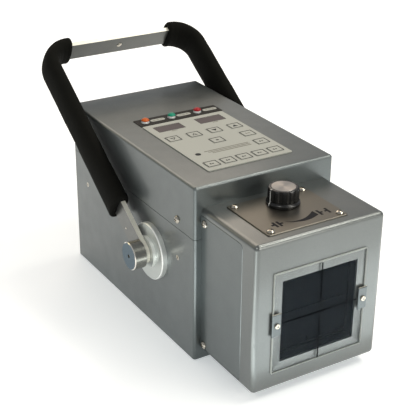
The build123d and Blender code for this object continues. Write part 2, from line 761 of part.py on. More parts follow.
# ---------------------------------------------------------------- handle and pivots
with BuildPart() as handle_bar:
    with BuildSketch(handle_plane.offset(-BAR_W / 2)):
        with BuildLine():
            FilletPolyline(
                (-ARM_X - BAR_T / 2, 0),
                (-ARM_X - BAR_T / 2, HANDLE_LEN + BAR_T / 2),
                (ARM_X + BAR_T / 2, HANDLE_LEN + BAR_T / 2),
                (ARM_X + BAR_T / 2, 0),
                radius=HANDLE_BEND_R + BAR_T / 2,
            )
            Line((ARM_X + BAR_T / 2, 0), (ARM_X - BAR_T / 2, 0))
            FilletPolyline(
                (ARM_X - BAR_T / 2, 0),
                (ARM_X - BAR_T / 2, HANDLE_LEN - BAR_T / 2),
                (-ARM_X + BAR_T / 2, HANDLE_LEN - BAR_T / 2),
                (-ARM_X + BAR_T / 2, 0),
                radius=HANDLE_BEND_R - BAR_T / 2,
            )
            Line((-ARM_X + BAR_T / 2, 0), (-ARM_X - BAR_T / 2, 0))
        make_face()
    extrude(amount=BAR_W)
    # Round ends about the pivot, then the pivot bores.
    for side in (-1, 1):
        with BuildSketch(Plane.YZ.offset(side * ARM_X - BAR_T / 2)):
            with Locations((PIVOT_Y, PIVOT_Z)):
                Circle(BAR_W / 2)
        extrude(amount=BAR_T)
    with BuildSketch(Plane.YZ.offset(-WIDTH)):
        with Locations((PIVOT_Y, PIVOT_Z)):
            Circle(BOLT_R + FIT)
    extrude(amount=2 * WIDTH, mode=Mode.SUBTRACT)
    # Stop-pin holes in the arms and a countersunk hole in the middle of the cross bar.
    with BuildSketch(arm_plane.offset(-WIDTH)):
        with Locations((34, -4.7)):
            Circle(1.25)
    extrude(amount=2 * WIDTH, mode=Mode.SUBTRACT)
    cross_plane = Plane(
        origin=arm_plane.from_local_coords(Vector(HANDLE_LEN - BAR_T / 2, 0, 0)),
        x_dir=(1, 0, 0),
        z_dir=(0, -cos(LEAN), -sin(LEAN)),
    )
    with BuildSketch(cross_plane):
        Circle(2.1)
    extrude(amount=-BAR_T, mode=Mode.SUBTRACT)
    with Locations(cross_plane.location):
        Cone(2.0, 3.4, 1.4, align=(Align.CENTER, Align.CENTER, Align.MAX), mode=Mode.SUBTRACT)
save(handle_bar, "handle_bar")


def make_grip(name, side):
    """One foam sleeve: an oval tube that follows an arm and its bend."""
    with BuildPart() as grip:
        arm_x = ARM_X + GRIP_OFFSET
        cross_s = HANDLE_LEN + GRIP_OFFSET
        with BuildLine(handle_plane) as route:
            FilletPolyline(
                (side * arm_x, GRIP_START),
                (side * arm_x, cross_s),
                (side * GRIP_END_X, cross_s),
                radius=HANDLE_BEND_R + GRIP_OFFSET,
            )
        with BuildSketch(Plane(origin=route.line @ 0, x_dir=(1, 0, 0), z_dir=route.line % 0)):
            Ellipse(GRIP_A, GRIP_B)
        sweep()
        # Room for the bar, a hair wider than the bar itself.
        room = BAR_T / 2 + FIT
        with BuildSketch(handle_plane.offset(-BAR_W / 2 - FIT)):
            with BuildLine():
                FilletPolyline(
                    (side * (ARM_X + room), 0),
                    (side * (ARM_X + room), HANDLE_LEN + room),
                    (0, HANDLE_LEN + room),
                    radius=HANDLE_BEND_R + room,
                )
                Line((0, HANDLE_LEN + room), (0, HANDLE_LEN - room))
                FilletPolyline(
                    (0, HANDLE_LEN - room),
                    (side * (ARM_X - room), HANDLE_LEN - room),
                    (side * (ARM_X - room), 0),
                    radius=HANDLE_BEND_R - room,
                )
                Line((side * (ARM_X - room), 0), (side * (ARM_X + room), 0))
            make_face()
        extrude(amount=BAR_W + 2 * FIT, mode=Mode.SUBTRACT)
    save(grip, name)


make_grip("foam_grip_left", -1)
make_grip("foam_grip_right", 1)


def make_boss(name, side):
    """Stepped round boss on the housing's side, under one end of the handle."""
    with BuildPart() as boss:
        with BuildSketch(Plane.YZ.offset(side * WIDTH / 2)):
            with Locations((PIVOT_Y, PIVOT_Z)):
                Circle(BOSS_R)
        extrude(amount=side * BOSS_T)
        chamfer(boss.faces().sort_by(Axis.X)[0 if side < 0 else -1].edges(), 1.0)
        hub_face = ARM_X - BAR_T / 2 - PIVOT_GAP
        with BuildSketch(Plane.YZ.offset(side * (WIDTH / 2 + BOSS_T / 2))):
            with Locations((PIVOT_Y, PIVOT_Z)):
                Circle(HUB_R)
        extrude(amount=side * (hub_face - WIDTH / 2 - BOSS_T / 2))
        with BuildSketch(Plane.YZ.offset(side * WIDTH / 2)):
            with Locations((PIVOT_Y, PIVOT_Z)):
                Circle(BOLT_R + FIT)
        extrude(amount=side * 20, mode=Mode.SUBTRACT)
    save(boss, name)


make_boss("pivot_boss_left", -1)
make_boss("pivot_boss_right", 1)

CAP_START_X = ARM_X + BAR_T / 2 + PIVOT_GAP
BOLT_END_X = PIVOT_CAP_FACE_X - 4.0
BOLT_HEAD_X = WIDTH / 2 - SHEET
with BuildPart() as pivot_caps:
    for side in (-1, 1):
        with BuildSketch(Plane.YZ.offset(side * CAP_START_X)):
            with Locations((PIVOT_Y, PIVOT_Z)):
                Circle(PIVOT_CAP_R)
        extrude(amount=side * (PIVOT_CAP_FACE_X - CAP_START_X))
        chamfer(pivot_caps.faces().sort_by(Axis.X)[0 if side < 0 else -1].edges(), 0.8)
        with BuildSketch(Plane.YZ.offset(side * CAP_START_X)):
            with Locations((PIVOT_Y, PIVOT_Z)):
                Circle(BOLT_R + FIT)
        extrude(amount=side * (BOLT_END_X + 0.2 - CAP_START_X), mode=Mode.SUBTRACT)
        with BuildSketch(Plane.YZ.offset(side * BOLT_END_X)):
            with Locations((PIVOT_Y, PIVOT_Z)):
                Circle(1.9)
        extrude(amount=side * 10, mode=Mode.SUBTRACT)
save(pivot_caps, "pivot_caps")

with BuildPart() as pivot_bolts:
    for side in (-1, 1):
        with BuildSketch(Plane.YZ.offset(side * BOLT_HEAD_X)):
            with Locations((PIVOT_Y, PIVOT_Z)):
                RegularPolygon(10.5, 6)
        extrude(amount=-side * 7)
        with BuildSketch(Plane.YZ.offset(side * (BOLT_HEAD_X - 1))):
            with Locations((PIVOT_Y, PIVOT_Z)):
                Circle(BOLT_R)
        extrude(amount=side * (BOLT_END_X - BOLT_HEAD_X + 1))
save(pivot_bolts, "pivot_bolts")

# ---------------------------------------------------------------- collimator box
COLL_INNER_W = COLL_W - 2 * SHEET
COLL_INNER_Z0 = COLL_Z0 + SHEET
COLL_INNER_Z1 = COLL_Z1 - SHEET
COLL_MID_Z = (COLL_Z0 + COLL_Z1) / 2
BASE_T = 3.0
BASE_AIR = 0.2
PANEL_R = 5.0
PANEL_BEVEL = 0.5

with BuildPart() as collimator_cover:
    with BuildSketch(front_plane):
        with Locations((0, COLL_MID_Z)):
            RectangleRounded(COLL_W, COLL_Z1 - COLL_Z0, COLL_BEND_R)
    extrude(amount=COLL_D)
    fillet(collimator_cover.faces().sort_by(Axis.Y)[0].edges(), COLL_BEND_R - 0.3)
    with BuildSketch(front_plane):
        with Locations((0, COLL_MID_Z)):
            RectangleRounded(
                COLL_INNER_W, COLL_INNER_Z1 - COLL_INNER_Z0, COLL_BEND_R - SHEET
            )
    extrude(amount=COLL_D - SHEET, mode=Mode.SUBTRACT)
    # Front opening and the holes for the clip screws.
    with BuildSketch(coll_front_plane):
        with Locations((0, BEAM_Z)):
            Rectangle(OPENING, OPENING)
        with Locations((-CLIP_X, BEAM_Z), (CLIP_X, BEAM_Z)):
            Circle(1.25 + FIT)
    extrude(amount=-SHEET, mode=Mode.SUBTRACT)
    # Holes for the knob's shaft and its plate.
    with BuildSketch(Plane.XY.offset(COLL_Z1)):
        with Locations((KNOB_X, KNOB_Y)):
            Circle(SHAFT_R + 1)
        with Locations(*plate_screw_places):
            Circle(SCREW_R + FIT)
    extrude(amount=-SHEET, mode=Mode.SUBTRACT)
    # Left side opening, closed by the side panel, and the right side's screw holes.
    panel_mid_z = (PANEL_Z0 + PANEL_Z1) / 2
    with BuildSketch(Plane.YZ.offset(-COLL_W)):
        with Locations((FRONT_Y, panel_mid_z)):
            RectangleRounded(2 * (FRONT_Y - PANEL_FRONT_Y), PANEL_Z1 - PANEL_Z0, PANEL_R)
    extrude(amount=COLL_W - COLL_INNER_W / 2, mode=Mode.SUBTRACT)
    with BuildSketch(Plane.YZ):
        with Locations(*[(SIDE_SCREW_Y, z) for z in SIDE_SCREW_Z]):
            Circle(SCREW_R + 0.3)
    extrude(amount=COLL_W, mode=Mode.SUBTRACT)
save(collimator_cover, "collimator_cover")

with BuildPart() as collimator_side_panel:
    with BuildSketch(Plane.YZ.offset(-COLL_W / 2)):
        with Locations((FRONT_Y, panel_mid_z)):
            RectangleRounded(
                2 * (FRONT_Y - PANEL_FRONT_Y - PANEL_GAP),
                PANEL_Z1 - PANEL_Z0 - 2 * PANEL_GAP,
                PANEL_R - PANEL_GAP,
            )
    extrude(amount=SHEET)
    with BuildSketch(Plane.YZ.offset(-COLL_W / 2)):
        with Locations((FRONT_Y + PANEL_R + 60, panel_mid_z)):
            Rectangle(2 * (PANEL_R + 60), 2 * PANEL_Z1)
        with Locations(*[(SIDE_SCREW_Y, z) for z in SIDE_SCREW_Z]):
            Circle(SCREW_R + 0.3)
    extrude(amount=SHEET, mode=Mode.SUBTRACT)
    panel_face = collimator_side_panel.faces().sort_by(Axis.X)[0]
    chamfer(panel_face.outer_wire().edges().sort_by(Axis.Y)[:-1], PANEL_BEVEL)
save(collimator_side_panel, "collimator_side_panel")

FLANGE_D = 14.0
with BuildPart() as collimator_base:
    base_w = COLL_INNER_W - 2 * BASE_AIR
    base_z0 = COLL_INNER_Z0 + BASE_AIR
    base_z1 = COLL_INNER_Z1 - BASE_AIR
    with BuildSketch(front_plane):
        with Locations((0, COLL_MID_Z)):
            RectangleRounded(base_w, base_z1 - base_z0, COLL_BEND_R - SHEET)
        with Locations((0, BEAM_Z)):
            Rectangle(60, 60, mode=Mode.SUBTRACT)
    extrude(amount=BASE_T)
    # Two flanges that take the side screws.
    with BuildSketch(front_plane.offset(BASE_T)):
        for side in (-1, 1):
            with Locations((side * (base_w / 2 - SHEET / 2), COLL_MID_Z)):
                Rectangle(SHEET, base_z1 - base_z0 - 8)
    extrude(amount=FLANGE_D)
    # Two cheeks that hold the mirror between them.
    with BuildSketch(front_plane.offset(BASE_T)):
        with Locations((-33, BEAM_Z), (33, BEAM_Z)):
            Rectangle(2, 50)
    extrude(amount=52)
    with BuildSketch(Plane.YZ.offset(-COLL_W)):
        with Locations(*[(SIDE_SCREW_Y, z) for z in SIDE_SCREW_Z]):
            Circle(SCREW_R + FIT)
    extrude(amount=2 * COLL_W, mode=Mode.SUBTRACT)
save(collimator_base, "collimator_base")

# ---------------------------------------------------------------- window, clips and knob plate
with BuildPart() as window_plate:
    with BuildSketch(coll_front_plane):
        with Locations((0, BEAM_Z)):
            RectangleRounded(WINDOW, WINDOW, 1.0)
        with Locations((-CLIP_X, BEAM_Z), (CLIP_X, BEAM_Z)):
            Circle(1.25 + 0.2, mode=Mode.SUBTRACT)
    extrude(amount=WINDOW_T)
    chamfer(window_plate.faces().sort_by(Axis.Y)[0].outer_wire().edges(), WINDOW_BEVEL)
    # Engraved aiming cross.
    with BuildSketch(coll_front_plane.offset(WINDOW_T)):
        with Locations((0, BEAM_Z)):
            Rectangle(HAIRLINE, WINDOW - 3)
            Rectangle(OPENING, HAIRLINE)
    extrude(amount=-0.3, mode=Mode.SUBTRACT)
save(window_plate, "window_plate")

clip_plane = coll_front_plane.offset(WINDOW_T)
with BuildPart() as window_clips:
    for side in (-1, 1):
        with BuildSketch(clip_plane):
            with Locations((side * CLIP_X, BEAM_Z)):
                Rectangle(CLIP_W, CLIP_H)
        extrude(amount=CLIP_T)
    chamfer(window_clips.faces().sort_by(Axis.Y)[:2].edges(), 0.7)
    with BuildSketch(clip_plane):
        with Locations((-CLIP_X, BEAM_Z), (CLIP_X, BEAM_Z)):
            Circle(1.25 + 0.2)
    extrude(amount=CLIP_T, mode=Mode.SUBTRACT)
save(window_clips, "window_clips")

CLIP_HEAD_R = 2.75
CLIP_HEAD_H = 1.5
with BuildPart() as clip_screws:
    with BuildSketch(clip_plane.offset(CLIP_T)):
        with Locations((-CLIP_X, BEAM_Z), (CLIP_X, BEAM_Z)):
            Circle(CLIP_HEAD_R)
    extrude(amount=CLIP_HEAD_H)
    fillet(clip_screws.faces().sort_by(Axis.Y)[:2].edges(), 0.7)
    with BuildSketch(clip_plane.offset(CLIP_T + CLIP_HEAD_H)):
        with Locations((-CLIP_X, BEAM_Z), (CLIP_X, BEAM_Z)):
            Rectangle(3.2, 0.7, rotation=45)
            Rectangle(3.2, 0.7, rotation=-45)
    extrude(amount=-0.8, mode=Mode.SUBTRACT)
    with BuildSketch(clip_plane.offset(CLIP_T)):
        with Locations((-CLIP_X, BEAM_Z), (CLIP_X, BEAM_Z)):
            Circle(1.25)
    extrude(amount=-CLIP_T - WINDOW_T - SHEET)
save(clip_screws, "clip_screws")

with BuildPart() as knob_plate:
    with BuildSketch(Plane.XY.offset(COLL_Z1)):
        with Locations((PLATE_X, PLATE_Y)):
            RectangleRounded(PLATE_W, PLATE_D, 2.5)
        with Locations((KNOB_X, KNOB_Y)):
            Circle(SHAFT_R + FIT, mode=Mode.SUBTRACT)
        with Locations(*plate_screw_places):
            Circle(SCREW_R + 0.2, mode=Mode.SUBTRACT)
    extrude(amount=PLATE_T)
    chamfer(knob_plate.faces().sort_by(Axis.Z)[-1].outer_wire().edges(), 0.45)
save(knob_plate, "knob_plate")

KNOB_Z0 = PLATE_TOP + 0.5
KNOB_TOP = PLATE_TOP + KNOB_H
SKIRT_H = 2.2
FLARE_H = 5.0
with BuildPart() as knob_body:
    with BuildSketch(Plane.XZ.offset(-KNOB_Y)):
        with BuildLine():
            Line((KNOB_X, KNOB_Z0), (KNOB_X + KNOB_R, KNOB_Z0))
            Line((KNOB_X + KNOB_R, KNOB_Z0), (KNOB_X + KNOB_R, KNOB_Z0 + SKIRT_H))
            ThreePointArc(
                (KNOB_X + KNOB_R, KNOB_Z0 + SKIRT_H),
                (KNOB_X + KNOB_BODY_R + 0.45, KNOB_Z0 + 0.62 * FLARE_H),
                (KNOB_X + KNOB_BODY_R, KNOB_Z0 + FLARE_H),
            )
            Line((KNOB_X + KNOB_BODY_R, KNOB_Z0 + FLARE_H), (KNOB_X + KNOB_BODY_R, KNOB_TOP - 1.6))
            ThreePointArc(
                (KNOB_X + KNOB_BODY_R, KNOB_TOP - 1.6),
                (KNOB_X + KNOB_BODY_R - 0.6, KNOB_TOP - 0.5),
                (KNOB_X + KNOB_BODY_R - 1.8, KNOB_TOP),
            )
            Line((KNOB_X + KNOB_BODY_R - 1.8, KNOB_TOP), (KNOB_X, KNOB_TOP))
            Line((KNOB_X, KNOB_TOP), (KNOB_X, KNOB_Z0))
        make_face()
    revolve(axis=Axis((KNOB_X, KNOB_Y, 0), (0, 0, 1)))
    # Flutes round the grip, with a ridge between two of them for the pointer.
    with BuildSketch(Plane.XY.offset(KNOB_Z0 + FLARE_H)):
        with Locations((KNOB_X, KNOB_Y)):
            flute_reach = KNOB_BODY_R + FLUTE_R - FLUTE_D
            with PolarLocations(flute_reach, KNOB_FLUTES, start_angle=15):
                Circle(FLUTE_R)
    extrude(amount=KNOB_H, mode=Mode.SUBTRACT)
    # Recess for the cap and the bore for the shaft.
    with BuildSketch(Plane.XY.offset(KNOB_TOP - 0.8)):
        with Locations((KNOB_X, KNOB_Y)):
            Circle(CAP_R + FIT)
    extrude(amount=0.8, mode=Mode.SUBTRACT)
    with BuildSketch(Plane.XY.offset(KNOB_Z0)):
        with Locations((KNOB_X, KNOB_Y)):
            Circle(SHAFT_R + FIT)
    extrude(amount=12, mode=Mode.SUBTRACT)
save(knob_body, "knob_body")

with BuildPart() as knob_cap:
    with BuildSketch(Plane.XY.offset(KNOB_TOP - 0.8)):
        with Locations((KNOB_X, KNOB_Y)):
            Circle(CAP_R)
    extrude(amount=0.95)
    chamfer(knob_cap.faces().sort_by(Axis.Z)[-1].edges(), 0.2)
save(knob_cap, "knob_cap")

# ---------------------------------------------------------------- shutter drive
with BuildPart() as knob_shaft:
    with BuildSketch(Plane.XY.offset(PINION_Z)):
        with Locations((KNOB_X, KNOB_Y)):
            Circle(PINION_R - 1.25 * MODULE)
            with PolarLocations(PINION_R + TOOTH_SHIFT, PINION_TEETH, start_angle=-90):
                Trapezoid(TOOTH_ROOT_W, TOOTH_H, TOOTH_FLANK, rotation=-90)
    extrude(amount=PINION_T)
    with BuildSketch(Plane.XY.offset(PINION_Z)):
        with Locations((KNOB_X, KNOB_Y)):
            Circle(SHAFT_R)
    extrude(amount=KNOB_Z0 + 11.8 - PINION_Z)
save(knob_shaft, "knob_shaft")

RACK_AHEAD = 44.0
RACK_STEP = pi * MODULE
TAB_W = 6.0
BRACKET_TOP = 158.0


def make_side_leaf(name, side):
    """Lead leaf that moves sideways, with the rack that the pinion drives.

    The right leaf carries the front rack. The left one carries the rear rack, and its
    bracket passes over the front rack.
    """
    row = -side
    outer_x = side * (LEAF_REST + LEAF_W)
    tab_top = PINION_Z + PINION_T if side > 0 else BRACKET_TOP
    bracket_z = PINION_Z if side > 0 else BRACKET_TOP - 4
    pitch_y = KNOB_Y + row * PINION_R
    rack_back = pitch_y + row * (1.25 * MODULE + RACK_T)
    rack_mid = pitch_y + row * (1.25 * MODULE + RACK_T / 2)
    with BuildPart() as leaf:
        with BuildSketch(Plane.XZ.offset(-SIDE_LEAF_Y - LEAF_T)):
            with Locations((side * (LEAF_REST + LEAF_W / 2), BEAM_Z)):
                Rectangle(LEAF_W, LEAF_H)
            tab_z0 = BEAM_Z + LEAF_H / 2 - 1
            with Locations((outer_x - side * TAB_W / 2, (tab_z0 + tab_top) / 2)):
                Rectangle(TAB_W, tab_top - tab_z0)
        extrude(amount=LEAF_T)
        # Bracket from the leaf back to the rack.
        with BuildSketch(Plane.XY.offset(bracket_z)):
            bracket_y0 = SIDE_LEAF_Y + LEAF_T / 2
            with Locations((outer_x - side * TAB_W / 2, (bracket_y0 + rack_back) / 2)):
                Rectangle(TAB_W, rack_back - bracket_y0)
        extrude(amount=tab_top - bracket_z)
        # Rack bar with its teeth turned towards the pinion.
        with BuildSketch(Plane.XY.offset(PINION_Z)):
            far_x = KNOB_X - side * RACK_AHEAD
            with Locations(((far_x + outer_x) / 2, rack_mid)):
                Rectangle(abs(outer_x - far_x), RACK_T)
            for step in range(-3, 14):
                tooth_x = KNOB_X - side * (step + 0.5) * RACK_STEP
                with Locations((tooth_x, pitch_y - row * TOOTH_SHIFT)):
                    Trapezoid(TOOTH_ROOT_W, TOOTH_H, TOOTH_FLANK, rotation=180 if row > 0 else 0)
        extrude(amount=PINION_T)
        if side < 0:
            with BuildSketch(Plane.XY.offset(PINION_Z)):
                with Locations((outer_x - side * TAB_W / 2, rack_mid)):
                    Rectangle(TAB_W, RACK_T)
            extrude(amount=BRACKET_TOP - PINION_Z)
    save(leaf, name)


make_side_leaf("shutter_left", -1)
make_side_leaf("shutter_right", 1)


def make_lift_leaf(name, side):
    """Lead leaf that moves up or down."""
    with BuildPart() as leaf:
        with BuildSketch(Plane.XZ.offset(-LIFT_LEAF_Y - LEAF_T)):
            with Locations((0, BEAM_Z + side * (LEAF_REST + LIFT_LEAF_H / 2))):
                Rectangle(LEAF_H, LIFT_LEAF_H)
        extrude(amount=LEAF_T)
        fillet(leaf.edges().filter_by(Axis.Y), 1.5)
    save(leaf, name)


make_lift_leaf("shutter_top", 1)
make_lift_leaf("shutter_bottom", -1)

FRAME_Z0 = COLL_INNER_Z0
with BuildPart() as shutter_frame:
    # Rear plate, behind the side leaves.
    with BuildSketch(Plane.XZ.offset(204)):
        with Locations((0, (FRAME_Z0 + 128) / 2)):
            Rectangle(132, 128 - FRAME_Z0)
        with Locations((0, BEAM_Z)):
            Rectangle(74, 74, mode=Mode.SUBTRACT)
    extrude(amount=2)
    # Rail that the side leaves stand on.
    with BuildSketch(Plane.XZ.offset(205)):
        with Locations((0, BEAM_Z - LEAF_H / 2 - 1.9)):
            Rectangle(132, 3.2)
    extrude(amount=5.6)
    # Front plate, with a rail on each side of the lifting leaves.
    with BuildSketch(Plane.XZ.offset(216)):
        with Locations((0, (FRAME_Z0 + 150) / 2)):
            Rectangle(96, 150 - FRAME_Z0)
        with Locations((0, FRAME_Z0 + 8)):
            Rectangle(112, 16)
        with Locations((0, BEAM_Z)):
            Rectangle(80, 80, mode=Mode.SUBTRACT)
    extrude(amount=2)
    with BuildSketch(Plane.XZ.offset(211.8)):
        for side in (-1, 1):
            with Locations((side * (LEAF_H / 2 + 2.0), (FRAME_Z0 + 150) / 2)):
                Rectangle(3.2, 150 - FRAME_Z0)
    extrude(amount=5)
    # Posts that join the two plates.
    with BuildSketch(Plane.XZ.offset(205)):
        for side in (-1, 1):
            with Locations((side * 51, FRAME_Z0 + 8)):
                Rectangle(8, 16)
    extrude(amount=12)
save(shutter_frame, "shutter_frame")

MIRROR_Y = -165.0
mirror_plane = Plane(origin=(0, MIRROR_Y, BEAM_Z), x_dir=(1, 0, 0), z_dir=(0, -1, -1))
with BuildPart() as mirror:
    with BuildSketch(mirror_plane):
        Rectangle(64, 54)
    extrude(amount=-2)
save(mirror, "mirror")

with BuildPart() as lamp:
    with BuildSketch(Plane.XY.offset(COLL_INNER_Z0)):
        with Locations((0, MIRROR_Y)):
            RectangleRounded(30, 26, 3)
    extrude(amount=12)
    with BuildSketch(Plane.XY.offset(COLL_INNER_Z0 + 11)):
        with Locations((0, MIRROR_Y)):
            Circle(5)
    extrude(amount=14)
    fillet(lamp.faces().sort_by(Axis.Z)[-1].edges(), 4.5)
save(lamp, "lamp")
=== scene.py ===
import math

import bmesh
import bpy
from mathutils import Matrix, Vector, noise


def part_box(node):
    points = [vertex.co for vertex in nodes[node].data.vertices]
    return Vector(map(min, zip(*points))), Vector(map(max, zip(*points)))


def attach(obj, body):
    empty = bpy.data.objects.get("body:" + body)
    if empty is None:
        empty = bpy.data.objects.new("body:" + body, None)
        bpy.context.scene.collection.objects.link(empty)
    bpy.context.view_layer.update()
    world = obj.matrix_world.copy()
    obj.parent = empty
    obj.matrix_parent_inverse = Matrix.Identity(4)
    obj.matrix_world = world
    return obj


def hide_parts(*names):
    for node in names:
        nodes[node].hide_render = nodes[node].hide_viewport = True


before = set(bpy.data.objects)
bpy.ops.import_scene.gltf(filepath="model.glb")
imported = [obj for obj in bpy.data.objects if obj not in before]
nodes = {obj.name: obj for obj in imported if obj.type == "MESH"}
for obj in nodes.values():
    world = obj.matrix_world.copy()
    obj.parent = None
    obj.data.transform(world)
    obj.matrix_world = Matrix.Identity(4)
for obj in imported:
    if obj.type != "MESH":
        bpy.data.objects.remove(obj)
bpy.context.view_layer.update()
MM = 0.001

# ------------------------------------------------------------------ camera
AZIMUTH = math.radians(-31.82)
ELEVATION = math.radians(25.63)
ROLL = math.radians(0.61)
EYE = Vector((-0.53946, -0.90042, 0.59563))
LENS = 91.67
SENSOR = 36.0
NEAREST = 0.05

back = Vector((
    math.sin(AZIMUTH) * math.cos(ELEVATION),
    -math.cos(AZIMUTH) * math.cos(ELEVATION),
    math.sin(ELEVATION),
))
right = Vector((math.cos(AZIMUTH), math.sin(AZIMUTH), 0))
up = back.cross(right)
cam_x = right * math.cos(ROLL) + up * math.sin(ROLL)
cam_y = up * math.cos(ROLL) - right * math.sin(ROLL)
camera_data = bpy.data.cameras.new("camera")
camera_data.lens = LENS
camera_data.sensor_width = SENSOR
camera_data.clip_start = NEAREST
camera = bpy.data.objects.new("camera", camera_data)
camera.matrix_world = Matrix((
    (cam_x.x, cam_y.x, back.x, EYE.x),
    (cam_x.y, cam_y.y, back.y, EYE.y),
    (cam_x.z, cam_y.z, back.z, EYE.z),
    (0, 0, 0, 1),
))
bpy.context.scene.collection.objects.link(camera)
bpy.context.scene.camera = camera
bpy.context.scene.view_settings.view_transform = "Standard"

# ------------------------------------------------------------------ places on the object
# The pivot and the knob's axis in metres, for materials, and the pivot in millimetres, for shapes.
PIVOT_MM = Vector((0, -50, 87))
PIVOT = tuple(PIVOT_MM * MM)
KNOB = (-0.0015, -0.1635, 0)

# The handle leans back: ALONG runs up its arms and ACROSS is square to them.
LEAN = math.radians(33.3)
ALONG = Vector((0, math.cos(LEAN), math.sin(LEAN)))
ACROSS = Vector((0, -math.sin(LEAN), math.cos(LEAN)))


# ------------------------------------------------------------------ materials
class Material:
    """A node material with one Principled shader."""

    def __init__(self, name, color=(0.5, 0.5, 0.5), rough=0.5, metal=0.0, **inputs):
        self.data = bpy.data.materials.new(name)
        self.data.use_nodes = True
        self.tree = self.data.node_tree
        self.tree.nodes.clear()
        self.out = self.tree.nodes.new("ShaderNodeOutputMaterial")
        self.shader = self.tree.nodes.new("ShaderNodeBsdfPrincipled")
        self.tree.links.new(self.shader.outputs[0], self.out.inputs[0])
        self.set("Base Color", (*color, 1))
        self.set("Roughness", rough)
        self.set("Metallic", metal)
        for key, value in inputs.items():
            self.set(key.replace("_", " "), value)
        self.coord = self.add("ShaderNodeTexCoord").outputs["Object"]

    def set(self, socket, value):
        self.shader.inputs[socket].default_value = value

    def add(self, kind, links=None, **values):
        node = self.tree.nodes.new(kind)
        for key, value in values.items():
            setattr(node, key, value)
        for key, value in (links or {}).items():
            if isinstance(value, bpy.types.NodeSocket):
                self.tree.links.new(value, node.inputs[key])
            else:
                node.inputs[key].default_value = value
        return node

    def link(self, source, socket):
        self.tree.links.new(source, self.shader.inputs[socket])

    def moved(self, scale=(1, 1, 1), offset=(0, 0, 0)):
        mapping = self.add("ShaderNodeMapping", {
            "Vector": self.coord, "Scale": scale, "Location": offset,
        })
        return mapping.outputs[0]

    def reach(self, centre, plane):
        """Distance from a line through a centre, square to a plane such as (0, 1, 1)."""
        at = self.moved(offset=tuple(-c for c in centre))
        keep = self.add("ShaderNodeVectorMath", {0: at, 1: plane}, operation="MULTIPLY").outputs[0]
        return self.add("ShaderNodeVectorMath", {0: keep}, operation="LENGTH").outputs["Value"]

    def true_normal(self):
        return self.add("ShaderNodeNewGeometry").outputs["True Normal"]

    def along(self, vector, axis):
        """One component of a vector, whatever its sign."""
        return self.math("ABSOLUTE", self.add("ShaderNodeSeparateXYZ", {0: vector}).outputs[axis])

    def noise(self, scale, detail=3.0, rough=0.5, vector=None):
        return self.add("ShaderNodeTexNoise", {
            "Vector": vector or self.coord, "Scale": scale, "Detail": detail, "Roughness": rough,
        }).outputs["Fac"]

    def cells(self, scale, vector=None):
        return self.add("ShaderNodeTexVoronoi", {
            "Vector": vector or self.coord, "Scale": scale,
        })

    def ramp(self, value, low, high, to_low=0.0, to_high=1.0):
        return self.add("ShaderNodeMapRange", {
            "Value": value, "From Min": low, "From Max": high,
            "To Min": to_low, "To Max": to_high,
        }).outputs[0]

    def math(self, kind, a, b=0.0):
        return self.add("ShaderNodeMath", {0: a, 1: b}, operation=kind).outputs[0]

    def mix(self, factor, a, b):
        node = self.add("ShaderNodeMix", data_type="RGBA")
        for index, value in ((0, factor), (6, a), (7, b)):
            if isinstance(value, bpy.types.NodeSocket):
                self.tree.links.new(value, node.inputs[index])
            elif index == 0:
                node.inputs[0].default_value = value
            else:
                node.inputs[index].default_value = (*value, 1)
        return node.outputs[2]

    def bump(self, height, strength, distance):
        node = self.add("ShaderNodeBump", {
            "Strength": strength, "Distance": distance, "Height": height,
        })
        self.link(node.outputs[0], "Normal")


def shade(c, k):
    """A colour made brighter or darker by a factor."""
    return tuple(min(1.0, v * k) for v in c)


# How far single flakes brighten the paint, and the strength of its orange peel.
FLAKE_SHARE = 0.10
PEEL = 0.10


def metallic_paint(name, color, rough, metal):
    """Silver powder paint: metal flakes, a faint orange peel and slow changes in tone."""
    m = Material(name, color, rough, metal, Coat_Weight=0.4, Coat_Roughness=0.16)
    flakes = m.cells(2600).outputs["Color"]
    tone = m.add("ShaderNodeSeparateColor", {0: flakes}).outputs[0]
    slow = m.noise(9, 2)
    patch = m.mix(m.ramp(slow, 0.35, 0.65), shade(color, 0.95), shade(color, 1.05))
    spark = m.mix(m.ramp(tone, 0, 1, 0, FLAKE_SHARE), patch, shade(color, 2.4))
    m.link(spark, "Base Color")
    m.link(m.ramp(m.noise(60, 3), 0.3, 0.7, rough - 0.04, rough + 0.05), "Roughness")
    m.bump(m.noise(900, 2), PEEL, 0.00008)
    return m


body_paint = metallic_paint("body_paint", (0.106, 0.120, 0.120), 0.36, 0.78)
coll_paint = metallic_paint("collimator_paint", (0.133, 0.142, 0.138), 0.33, 0.80)
bar_paint = metallic_paint("bar_paint", (0.115, 0.118, 0.110), 0.36, 0.75)


def brushed(name, color, rough, axis_scale, metal=1.0, depth=0.12, contrast=0.12):
    """Metal with fine straight lines, long along the axis with the small scale."""
    m = Material(name, color, rough, metal)
    lines = m.noise(1, 4, 0.6, m.moved(axis_scale))
    m.link(m.mix(lines, shade(color, 1 - contrast), shade(color, 1 + contrast)), "Base Color")
    m.link(m.ramp(lines, 0.3, 0.7, rough - 0.06, rough + 0.08), "Roughness")
    m.bump(lines, depth, 0.00004)
    return m


def turned(name, color, rough, centre, plane, axis, metal=1.0, contrast=0.12):
    """Metal with fine rings round a centre, as a lathe leaves them, and the streaks they give."""
    m = Material(name, color, rough, metal, Anisotropic=0.65)
    round_way = m.add("ShaderNodeTangent", direction_type="RADIAL", axis=axis)
    m.link(round_way.outputs[0], "Tangent")
    line = m.add("ShaderNodeCombineXYZ", {0: m.reach(centre, plane)}).outputs[0]
    rings = m.noise(2600, 3, 0.6, line)
    m.link(m.mix(rings, shade(color, 1 - contrast), shade(color, 1 + contrast)), "Base Color")
    m.link(m.ramp(rings, 0.3, 0.7, rough - 0.05, rough + 0.08), "Roughness")
    m.bump(rings, 0.2, 0.00004)
    return m


